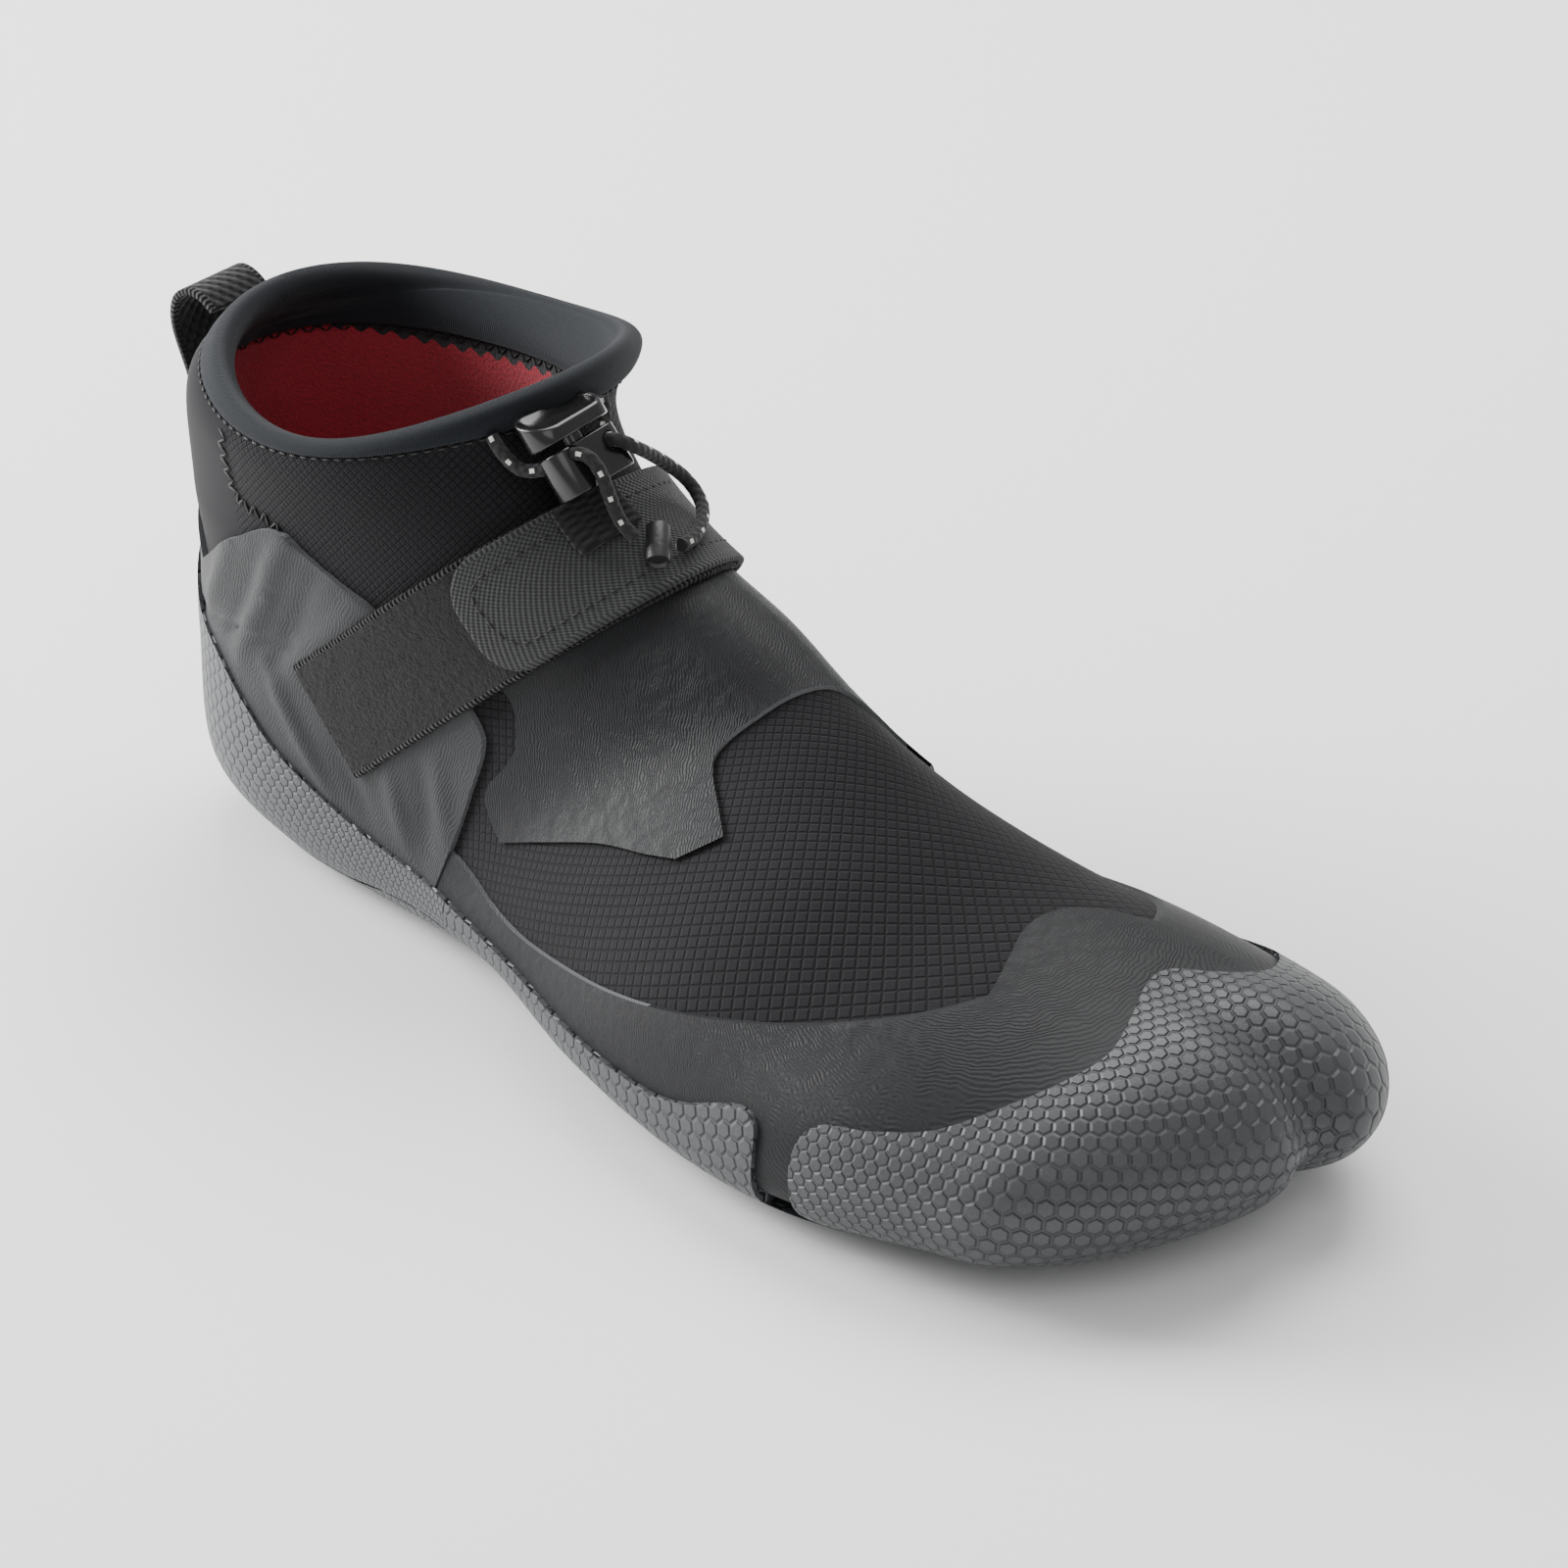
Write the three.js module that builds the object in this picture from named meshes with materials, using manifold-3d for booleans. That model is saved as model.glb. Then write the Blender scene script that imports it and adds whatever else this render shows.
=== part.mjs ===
// A low-cut split-toe neoprene water boot for the right foot, in millimetres.
// +X points to the toes, +Y to the inner side of the foot and +Z up.  The origin lies on the
// floor under the middle of the heel.
import * as THREE from "three";
import { mergeVertices } from "three/addons/utils/BufferGeometryUtils.js";
import Module from "manifold-3d";

const wasm = await Module();
wasm.setup();

// ---- overall sizes of the boot, measured over the rubber -------------------------------------
const LENGTH = 274;
const BALL_WIDTH = 106.5;
const HEEL_WIDTH = 68;
const COLLAR_HEIGHT = 113;

// ---- walls, layers and clearances ------------------------------------------------------------
const GAP = 0.3; // between pieces that touch
const NEOPRENE = 3; // wall of the upper
const RUBBER = 1.5; // moulded rubber over the upper
const SOLE = 3.4; // rubber under the foot
const TREAD_REST = 0.8; // how far the sole is flattened where it stands
const INSOLE = 3;
const FEATHER = 14; // width of the neoprene turned in under the foot
const PART_LINE = 6; // height of the sole's edge, where toe cap and heel cup begin
const TIP_CLIMB = 13; // how far that edge climbs from the ball to the toe tip
const ARCH_START = 22;
const ARCH_CLIMB = 5; // how far the edge climbs with the arch
const STRIP = 17.5; // height of the outer side strip of the sole
const STRIP_START = 58;
const STRIP_END = 163;

const BINDING = 5.2; // thickness of the rolled collar binding
const WEBBING = 1.6; // thickness of one layer of strap
const STRAP_WIDTH = 24.5;
const STRAP_TILT = THREE.MathUtils.degToRad(41);
const RING_WIRE = 2.6;
const RING_WIDTH = 9.5; // between the middles of the ring's two long bars
const RING_SPAN = STRAP_WIDTH + 2; // between the middles of its two short ends
const ANCHOR_WIDTH = 26;

const LOCK_WIDTH = 17;
const LOCK_DEPTH = 8;
const BARREL = 9; // length of the cord lock's barrel
const CAP = 4.2; // length of its button's cap
const CAP_WIDTH = 18;
const CAP_DEPTH = 9.2;
const PRESS = 1.2; // stroke of the button
const STEM = 3.6; // across the button's stem
const STEM_LENGTH = 4;
const CORD = 2.6; // across the elastic cord
const CORD_PLAY = 0.4; // play of the cord in its hole, all round
const STOPPER = 4.6; // across the bead on the cord's ends
const STOPPER_LENGTH = 8.4;
const TAB_WIDTH = 12;
const TAB_LENGTH = 11;
const TAB = 1.2;
const LOOP_WIDTH = 15; // webbing of the finger loop at the heel
const LOOP = 1.4;

// ---- the last --------------------------------------------------------------------------------
// Each section leans from a point on the back or sole line to a point on the front line.
// back x, z; front x, z; outer edge y; inner edge y; ridge y; height of the widest place
// as a share of the section; squareness of its lower half.  Drawn for the sizes below.
const DRAWN = { length: 274, ball: 106.5, heel: 68, collar: 113 };
const SECTIONS = [
  [-27.5, 105, 58.3, 113, -39.5, 34.5, -2, 0.5, 2],
  [-34, 95, 59, 102, -41, 28.5, -5, 0.5, 2],
  [-35, 67, 67, 91.5, -38, 28, -4.5, 0.48, 2.1],
  [-35, 37, 78.5, 85, -37, 30.5, -2.5, 0.42, 2.3],
  [-29, 10, 91, 80.5, -37, 32, 0, 0.35, 2.6],
  [-3, 0, 103, 76, -36, 32, 1, 0.33, 3],
  [27, 0, 116, 70.5, -37.5, 29.5, 1, 0.35, 3.2],
  [63, 5, 131.5, 65.5, -46, 28.5, -1.5, 0.37, 3.2],
  [100, 3, 149, 59, -57, 33, -5, 0.35, 3.2],
  [135, 0, 169, 52, -62, 40, -5, 0.34, 3.2],
  [165, 0, 189, 48.5, -62.5, 44, -4, 0.36, 3.2],
  [193, 2.5, 206, 45, -57.5, 44.5, -4.5, 0.39, 3],
];
const TOE = { run: 39.5, y: 10, z: 22, round: 2.07, steps: [22, 42, 60, 76, 90, 104] };
const ANKLE_DIP = 9.5; // how far the collar drops at the ankles
const GROOVE = { back: 0, tip: 5, depth: 4.2, half: 6.5, length: 42 };

const clamp = (t, low = 0, high = 1) => Math.min(high, Math.max(low, t));
const smooth = (t) => clamp(t) * clamp(t) * (3 - 2 * clamp(t));
const mix = (a, b, t) => a + (b - a) * t;

// A drawn place on the last, taken to the sizes above.
const gradeX = (x) => (x * LENGTH) / DRAWN.length;
const gradeZ = (z) => (z * COLLAR_HEIGHT) / DRAWN.collar;
const gradeY = (y, x) =>
  y * mix(HEEL_WIDTH / DRAWN.heel, BALL_WIDTH / DRAWN.ball, smooth((x - 27) / 110));

// The closing of the toe: the last section shrinks along an ellipse to the tip.
function toeSection(degrees) {
  const [bx, bz, tx, tz, outer, inner, ridge, belly, square] = SECTIONS.at(-1);
  const angle = THREE.MathUtils.degToRad(degrees);
  const c = Math.cos(angle);
  const s = Math.sin(angle);
  const shrink = Math.sign(c) * Math.abs(c) ** (2 / TOE.round);
  const fade = 1 - Math.abs(shrink);
  const half = (tx - bx) / 2;
  const y = mix(TOE.y, ridge, Math.abs(shrink));
  return [
    bx + TOE.run * s + half * s * s,
    mix(TOE.z, bz, shrink),
    tx + (TOE.run - half) * s,
    mix(TOE.z, tz, shrink),
    y + (outer - ridge) * shrink,
    y + (inner - ridge) * shrink,
    y,
    mix(belly, 0.5, fade),
    mix(square, 2, fade),
  ];
}

function graded([bx, bz, tx, tz, outer, inner, ridge, belly, square]) {
  const x = (bx + tx) / 2;
  const ends = [gradeX(bx), gradeZ(bz), gradeX(tx), gradeZ(tz)];
  return [...ends, ...[outer, inner, ridge].map((y) => gradeY(y, x)), belly, square];
}

const ROWS = [...SECTIONS, ...TOE.steps.map(toeSection)].map(graded);
ROWS.unshift(ROWS[0].map((v, k) => 2 * v - ROWS[1][k]));
const TIP = ROWS.length - 3; // u at the toe tip; u is 0 at the upper's top edge
const TIP_X = ROWS.at(-2)[0];

// The row of the section table at u, on a smooth curve through its neighbours.
function section(u) {
  const i = clamp(Math.floor(u), 0, TIP - 1);
  const f = u - i;
  return ROWS[i].map((p0, k) => {
    const [p1, p2, p3] = [ROWS[i + 1][k], ROWS[i + 2][k], ROWS[i + 3][k]];
    const bend = 2 * p0 - 5 * p1 + 4 * p2 - p3 + f * (3 * (p1 - p2) + p3 - p0);
    return p1 + 0.5 * f * (p2 - p0 + f * bend);
  });
}

// A point of the outer form: u runs from collar to toe tip, a turns round the section from
// the sole over the outer side, the ridge and the inner side.
function form(u, a) {
  const [bx, bz, tx, tz, outer, inner, ridge, belly, square] = section(u);
  const c = Math.cos(a);
  const s = Math.sin(a);
  const tall = Math.hypot(tx - bx, tz - bz) + 1e-6;
  const lower = tall * belly;
  const height = c > 0 ? lower : tall - lower;
  const width = Math.max(s > 0 ? ridge - outer : inner - ridge, 1e-3);
  const power = c > 0 ? square : 2;
  const r = ((Math.abs(c) / height) ** power + (Math.abs(s) / width) ** power) ** (-1 / power);
  const along = (lower - r * c) / tall;
  const dip = ANKLE_DIP * clamp(1 - u / 2.2, 0, 1.2) ** 1.5 * s * s;
  const p = new THREE.Vector3(
    mix(bx, tx, along),
    ridge - r * s,
    mix(bz, tz, along) - dip,
  );
  const near = smooth((p.x - (TIP_X - GROOVE.length)) / GROOVE.length);
  const aside = (p.y - mix(GROOVE.back, GROOVE.tip, near)) / GROOVE.half;
  const cut = GROOVE.depth * near * Math.exp(-aside * aside);
  const core = new THREE.Vector3((bx + tx) / 2 - 12, p.y, (bz + tz) / 2);
  return p.sub(core.sub(p).negate().normalize().multiplyScalar(cut));
}

function normal(u, a) {
  const e = 0.02;
  const tip = Math.min(u, TIP - 0.05);
  const du = form(tip + e, a).sub(form(tip - e, a));
  const da = form(tip, a + e).sub(form(tip, a - e));
  if (u >= TIP) return new THREE.Vector3(1, 0, 0);
  return du.cross(da).normalize();
}

// How far below the outer form the upper lies: under rubber in the lower half, not at the ankle.
const COVER = RUBBER + GAP;
const covered = (z) => 1 - smooth((z - gradeZ(58)) / 16);

// A point at a depth below the outer form; what lies under the foot also clears the sole.
function skin(u, a, depth, underRubber = false) {
  const p = form(u, a);
  const n = normal(u, a);
  const down = Math.max(0, -n.z) ** 2;
  const z = p.z;
  let d = depth;
  if (underRubber) d += COVER * covered(z) + (SOLE - RUBBER) * down;
  return p.addScaledVector(n, -d);
}

// ---- closed meshes and booleans --------------------------------------------------------------
// Joins rings of points into one closed surface: around each ring, and from ring to ring.
function loft(rings, { closed = false } = {}) {
  const n = rings[0].length;
  const points = rings.flat();
  const faces = [];
  const quads = closed ? rings.length : rings.length - 1;
  for (let i = 0; i < quads; i++)
    for (let j = 0; j < n; j++) {
      const a = i * n + j;
      const b = i * n + ((j + 1) % n);
      const c = ((i + 1) % rings.length) * n + ((j + 1) % n);
      const d = ((i + 1) % rings.length) * n + j;
      faces.push(a, b, c, a, c, d);
    }
  if (!closed)
    [0, rings.length - 1].forEach((row, end) => {
      const middle = rings[row].reduce((sum, p) => sum.add(p), new THREE.Vector3());
      points.push(middle.divideScalar(n));
      for (let j = 0; j < n; j++) {
        const pair = [row * n + j, row * n + ((j + 1) % n)];
        if (end === 0) pair.reverse();
        faces.push(points.length - 1, ...pair);
      }
    });
  const geometry = new THREE.BufferGeometry().setFromPoints(points);
  geometry.setIndex(faces);
  return geometry;
}

// A geometry as a closed solid, turned to face outwards.
function solid(geometry) {
  const bare = geometry.clone();
  bare.deleteAttribute("normal");
  bare.deleteAttribute("uv");
  const merged = mergeVertices(bare, 1e-4);
  const index = merged.index.array;
  const kept = [];
  for (let i = 0; i < index.length; i += 3) {
    const [a, b, c] = index.slice(i, i + 3);
    if (a !== b && b !== c && a !== c) kept.push(a, b, c);
  }
  const closedMesh = (faces) =>
    new wasm.Manifold(
      new wasm.Mesh({
        numProp: 3,
        vertProperties: new Float32Array(merged.attributes.position.array),
        triVerts: new Uint32Array(faces),
      }),
    );
  const made = closedMesh(kept);
  return made.volume() > 0 ? made : closedMesh(kept.reverse());
}

function geometryOf(made) {
  const mesh = made.getMesh();
  const points = new Float32Array(mesh.numVert * 3);
  for (let i = 0; i < mesh.numVert; i++) {
    const start = i * mesh.numProp;
    points.set(mesh.vertProperties.subarray(start, start + 3), i * 3);
  }
  const geometry = new THREE.BufferGeometry();
  geometry.setAttribute("position", new THREE.BufferAttribute(points, 3));
  geometry.setIndex(new THREE.BufferAttribute(mesh.triVerts, 1));
  geometry.computeVertexNormals();
  return geometry;
}

// The filled form at a depth, from u = start to the toe tip.
const AROUND = 28;
const ALONG = [0, 0.5, 1, 1.6, 2.3, 3, 3.6, 4.2, 4.8, 5.5, 6.3, 7.2, 8.1, 9, 10, 11, 11.7, 12.4,
  13.1, 13.8, 14.5, 15.1, 15.6];
function filled(depth, { start = 0, underRubber = false } = {}) {
  const us = [start, ...ALONG.filter((u) => u > start + 0.2)];
  const rings = us.map((u) =>
    Array.from({ length: AROUND }, (_, j) =>
      skin(u, (j * 2 * Math.PI) / AROUND, depth, underRubber),
    ),
  );
  const tip = skin(TIP, 0, depth, underRubber);
  rings.push(Array.from({ length: AROUND }, () => tip.clone()));
  return solid(loft(rings));
}

const FAR = 400; // longer than any piece that a cutter crosses
// A block whose outline is drawn in the side view, from one y to another.
function sideBlock(shape, from = -FAR, to = FAR) {
  const block = new THREE.ExtrudeGeometry(shape, {
    depth: to - from,
    bevelEnabled: false,
    curveSegments: 6,
  });
  block.rotateX(Math.PI / 2);
  block.translate(0, to, 0);
  return solid(block);
}

// A block whose outline is drawn in the view from above, from one z to another.
function topBlock(shape, from, to) {
  const block = new THREE.ExtrudeGeometry(shape, {
    depth: to - from,
    bevelEnabled: false,
    curveSegments: 6,
  });
  block.translate(0, 0, from);
  return solid(block);
}

const outline = (points) => new THREE.Shape(points.map(([x, y]) => new THREE.Vector2(x, y)));
const box = (x0, x1, z0, z1, y0, y1) =>
  sideBlock(outline([[x0, z0], [x1, z0], [x1, z1], [x0, z1]]), y0, y1);

const boot = new THREE.Group();
function piece(name, made, look) {
  const mesh = new THREE.Mesh(geometryOf(made), new THREE.MeshStandardMaterial(look));
  mesh.name = name;
  boot.add(mesh);
  return made;
}

const FLOOR_UP = box(-FAR, FAR, 0, FAR);
const lowered = (made) => made.translate([0, 0, -TREAD_REST]);

// ---- collar binding: a rolled ring on the upper's top edge -----------------------------------
const RIM_SIDES = 8;
function rim(radius) {
  const rings = Array.from({ length: AROUND }, (_, j) => {
    const a = (j * 2 * Math.PI) / AROUND;
    const out = normal(0, a);
    const up = form(-0.1, a).sub(form(0.1, a)).normalize();
    const centre = form(0, a)
      .addScaledVector(out, -NEOPRENE / 2)
      .addScaledVector(up, BINDING / 2);
    return Array.from({ length: RIM_SIDES }, (_, k) => {
      const turn = (k * 2 * Math.PI) / RIM_SIDES;
      return centre
        .clone()
        .addScaledVector(out, radius * Math.cos(turn))
        .addScaledVector(up, radius * Math.sin(turn));
    });
  });
  return solid(loft(rings, { closed: true }));
}
piece("collar_binding", lowered(rim(BINDING / 2)), { color: 0x262a2f, roughness: 0.95 });

// ---- upper: one neoprene sock, open at the collar and under the foot -------------------------
const SOLE_LINE = [-13, -6, 4, 20, 45, 75, 105, 135, 165, 188, 199, 205];

// The sole's outline from above, drawn in by an inset.
function footprint(inset) {
  const widest = (x, outward) => {
    let best = { far: Infinity };
    for (let u = 4; u <= TIP; u += 0.1) {
      const p = form(u, (outward * Math.PI) / 2);
      const far = Math.abs(p.x - x);
      if (far < best.far) best = { far, y: p.y };
    }
    return best.y + outward * inset;
  };
  const line = SOLE_LINE.map(gradeX);
  const drawn = inset - FEATHER;
  const shift = (x, i) => x + drawn * ((i === 0) - (i === line.length - 1));
  const outer = line.map((x, i) => [shift(x, i), widest(x, 1)]);
  const inner = line.map((x, i) => [shift(x, i), widest(x, -1)]);
  return outline([...outer, ...inner.reverse()]);
}

// Under the foot the neoprene is open over all of this height.
const OPEN_LOW = -10;
const OPEN_HIGH = gradeZ(5) + SOLE + NEOPRENE + 4;
const upperOuter = filled(0, { underRubber: true });
const upperInner = filled(NEOPRENE, { start: -0.25, underRubber: true });
const underfoot = topBlock(footprint(FEATHER), OPEN_LOW, OPEN_HIGH);
const rimBed = rim(BINDING / 2 + GAP);
const sock = upperOuter.subtract(upperInner).subtract(underfoot).subtract(rimBed);
piece("upper", lowered(sock), { color: 0x1d1d20, roughness: 0.9 });

// ---- outsole, toe cap and heel cup: moulded rubber over the upper ----------------------------
const rubberOuter = filled(0);
const rubberInner = filled(-GAP, { underRubber: true });
const shell = rubberOuter.subtract(rubberInner);
const plate = rubberOuter
  .intersect(topBlock(footprint(FEATHER + GAP), OPEN_LOW, OPEN_HIGH - 1))
  .subtract(upperInner);

// The sole's edge line in the side view: level round the heel, up with the arch on each side,
// and up again with the toe spring.  lift moves the whole line up.
function heelEdge(shape, side, lift = 0) {
  shape.moveTo(-FAR, PART_LINE + lift);
  shape.lineTo(gradeX(ARCH_START), PART_LINE + lift);
  const high = PART_LINE + gradeZ(ARCH_CLIMB);
  if (side < 0) shape.quadraticCurveTo(gradeX(42), high + lift, gradeX(STRIP_START), high + lift);
  else shape.quadraticCurveTo(gradeX(70), 2 * high - PART_LINE + lift, gradeX(125), PART_LINE + lift);
}
function toeEdge(shape, lift = 0) {
  const [tip, high] = [gradeX(240), PART_LINE + gradeZ(TIP_CLIMB)];
  shape.lineTo(gradeX(STRIP_END), PART_LINE + lift);
  shape.quadraticCurveTo(gradeX(205), PART_LINE + lift, tip, high + lift);
  shape.lineTo(FAR, high + lift);
}
// On the outer side the sole rises to a strip with a rounded end before the toe.
function strip(shape) {
  const [start, end] = [gradeX(STRIP_START), gradeX(STRIP_END)];
  shape.lineTo(start, gradeZ(STRIP));
  shape.lineTo(gradeX(130), gradeZ(STRIP));
  shape.quadraticCurveTo(gradeX(144), gradeZ(STRIP + 2), gradeX(152), gradeZ(STRIP + 6));
  shape.quadraticCurveTo(end, gradeZ(STRIP + 8), end, gradeZ(STRIP));
}
function below(side) {
  const edge = new THREE.Shape();
  heelEdge(edge, side);
  if (side < 0) strip(edge);
  toeEdge(edge);
  edge.lineTo(FAR, -20);
  edge.lineTo(-FAR, -20);
  return edge;
}
const belowEdge = sideBlock(below(-1), -FAR, 0).add(sideBlock(below(1), 0, FAR));
const sole = lowered(shell.intersect(belowEdge).add(plate)).intersect(FLOOR_UP);
piece("outsole", sole, { color: 0x45484b, roughness: 0.75 });

// The toe cap's edge runs round both lobes of the split toe.
function capOutline() {
  const cap = new THREE.Shape();
  const at = (x, y) => [gradeX(x), gradeY(y, x)];
  cap.moveTo(...at(172, -90));
  cap.lineTo(...at(172, -62));
  cap.quadraticCurveTo(...at(172, -59), ...at(177, -58));
  cap.quadraticCurveTo(...at(202, -51), ...at(208, -33));
  cap.quadraticCurveTo(...at(212, -20), ...at(206, -8));
  cap.quadraticCurveTo(...at(202, -1), ...at(206, 6));
  cap.quadraticCurveTo(...at(213, 18), ...at(204, 30));
  cap.quadraticCurveTo(...at(196, 40), ...at(174, 41));
  cap.quadraticCurveTo(...at(167, 42), ...at(167, 48));
  cap.lineTo(...at(167, 90));
  cap.lineTo(gradeX(300), 90);
  cap.lineTo(gradeX(300), -90);
  return cap;
}
const aboveSole = new THREE.Shape();
aboveSole.moveTo(-FAR, PART_LINE + GAP);
toeEdge(aboveSole, GAP);
aboveSole.lineTo(FAR, FAR);
aboveSole.lineTo(-FAR, FAR);
const toeCap = shell
  .intersect(topBlock(capOutline(), OPEN_LOW, FAR))
  .intersect(sideBlock(aboveSole))
  .subtract(underfoot);
piece("toe_cap", lowered(toeCap), { color: 0x55585b, roughness: 0.7 });

// The heel cup's edge slants from the back of the heel down to the side strip, and is higher
// on the inner side.
const CUP_TILT = THREE.MathUtils.degToRad(9.4);
function cupOutline() {
  const cup = new THREE.Shape();
  const at = (x, z) => [gradeX(x), gradeZ(z)];
  cup.moveTo(-FAR, -60);
  cup.lineTo(-FAR, gradeZ(56));
  cup.lineTo(...at(-30, 56));
  cup.quadraticCurveTo(...at(-10, 51), ...at(4, 40));
  cup.quadraticCurveTo(...at(20, 28), ...at(38, 25));
  cup.lineTo(...at(66, 23));
  cup.lineTo(gradeX(66), -60);
  return cup;
}
// It ends at the side strip on the outer side, and runs down to the sole on the inner side.
function cupSide(side) {
  const shape = new THREE.Shape();
  heelEdge(shape, side, GAP);
  shape.lineTo(side < 0 ? gradeX(STRIP_START) : FAR, FAR);
  shape.lineTo(-FAR, FAR);
  return shape;
}
function cupFront() {
  const front = new THREE.Shape();
  front.moveTo(-FAR, -20);
  front.lineTo(-FAR, FAR);
  front.lineTo(gradeX(33), FAR);
  front.lineTo(gradeX(36), gradeZ(32));
  front.quadraticCurveTo(gradeX(50), gradeZ(22), gradeX(60), -20);
  return front;
}
const cupOuter = sideBlock(cupSide(-1), -FAR, 0).translate([-GAP, 0, 0]);
const cupInner = sideBlock(cupSide(1), 0, FAR).intersect(sideBlock(cupFront()));
const tilt = THREE.MathUtils.radToDeg(CUP_TILT);
const heelCup = shell
  .intersect(sideBlock(cupOutline()).rotate([tilt, 0, 0]))
  .intersect(cupOuter.add(cupInner))
  .subtract(underfoot);
piece("heel_cup", lowered(heelCup), { color: 0x5a5e61, roughness: 0.7 });

// ---- insole: lies on the upper and on the sole's raised middle -------------------------------
function insoleTop() {
  const under = SOLE + NEOPRENE + GAP + INSOLE;
  const top = new THREE.Shape();
  top.moveTo(-FAR, -20);
  top.lineTo(-FAR, under);
  const line = SECTIONS.slice(5).map(([x, z]) => new THREE.Vector2(gradeX(x), gradeZ(z) + under));
  top.lineTo(line[0].x, line[0].y);
  top.splineThru(line.slice(1));
  top.lineTo(gradeX(225), gradeZ(9) + under);
  top.lineTo(gradeX(225), -20);
  return top;
}
const insole = filled(NEOPRENE + GAP, { start: 0.5, underRubber: true });
piece("insole", lowered(insole.intersect(sideBlock(insoleTop()))), {
  color: 0x6f1d22,
  roughness: 0.95,
});

// ---- places on the form, found from the side view --------------------------------------------
// The point of the form at x, z on the outer (-1) or inner (1) side, with its outward normal.
function placeAt(x, z, side) {
  let best = { far: Infinity };
  let [u, a, du, da] = [5, side < 0 ? Math.PI / 2 : 1.5 * Math.PI, 4.5, Math.PI / 2];
  const [u0, a0] = [u, a];
  for (let step = 0; step < 14; step++) {
    for (let i = -6; i <= 6; i++)
      for (let j = -6; j <= 6; j++) {
        const uu = clamp(u + (i * du) / 6, 0, TIP);
        const aa = clamp(a + (j * da) / 6, a0 - Math.PI / 2, a0 + Math.PI / 2);
        const p = form(uu, aa);
        const far = Math.hypot(p.x - x, p.z - z);
        if (far < best.far) best = { far, u: uu, a: aa, p };
      }
    [u, a] = [best.u ?? u0, best.a ?? a0];
    du *= 0.45;
    da *= 0.45;
  }
  return { point: best.p, out: normal(best.u, best.a) };
}

// ---- strap: up from the outer side, round the ring, and back over itself ---------------------
const STRAP_MIDDLE = [gradeX(52), gradeZ(67.7)]; // of the strap's centre line in the side view
const STRAP_FOOT = -38.6; // along the strap from there: where it leaves the outer side
const STRAP_TAB = 7.4; // the free end on the outer side
const STRAP_RING = -13.1; // the ring's upper bar, on the inner side
const STRAP_OVER = 70; // past the ridge
const along = [Math.cos(STRAP_TILT), Math.sin(STRAP_TILT)];
const strapPoint = (s, w) => [
  STRAP_MIDDLE[0] + s * along[0] - w * along[1],
  STRAP_MIDDLE[1] + s * along[1] + w * along[0],
];

// A stretch of the band in the side view, with rounded corners at its lower end.
function bandOutline(from, to, width, corner = 0) {
  const h = width / 2;
  const shape = new THREE.Shape();
  shape.moveTo(...strapPoint(to, -h));
  shape.lineTo(...strapPoint(from + corner, -h));
  if (corner) shape.quadraticCurveTo(...strapPoint(from, -h), ...strapPoint(from, -h + corner));
  else shape.lineTo(...strapPoint(from, -h));
  shape.lineTo(...strapPoint(from, h - corner));
  if (corner) shape.quadraticCurveTo(...strapPoint(from, h), ...strapPoint(from + corner, h));
  shape.lineTo(...strapPoint(to, h));
  return shape;
}

// The layer between two heights over the form; lift raises it further, place by place.
function layer(low, high, lift = () => 0) {
  const sheet = (height, start) => {
    const rings = [start, ...ALONG.filter((u) => u > start + 0.2 && u < 9)].map((u) =>
      Array.from({ length: AROUND }, (_, j) => {
        const a = (j * 2 * Math.PI) / AROUND;
        return form(u, a).addScaledVector(normal(u, a), height + lift(form(u, a)));
      }),
    );
    return solid(loft(rings));
  };
  return sheet(high, 0).subtract(sheet(low, -0.2));
}
const RIDGE = -4; // y that parts the outer side from the inner one on the instep
const ringHeight = GAP + WEBBING + GAP + RING_WIRE / 2;
const ringPlace = placeAt(...strapPoint(STRAP_RING, 0), 1);
const barAxis = new THREE.Vector3(-along[1], 0, along[0]);
barAxis.addScaledVector(ringPlace.out, -barAxis.dot(ringPlace.out)).normalize();
const ringAcross = new THREE.Vector3().crossVectors(barAxis, ringPlace.out).normalize();
if (ringAcross.x > 0) ringAcross.negate(); // points down the strap, away from the instep
const ringUpper = ringPlace.point.clone().addScaledVector(ringPlace.out, ringHeight + 0.8);
const ringLower = ringUpper.clone().addScaledVector(ringAcross, RING_WIDTH);

// A straight round bar along the ring's axis.
function bar(centre, radius, length) {
  const rod = new THREE.CylinderGeometry(radius, radius, length, 12);
  rod.applyQuaternion(
    new THREE.Quaternion().setFromUnitVectors(new THREE.Vector3(0, 1, 0), barAxis),
  );
  rod.translate(centre.x, centre.y, centre.z);
  return solid(rod);
}

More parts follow.
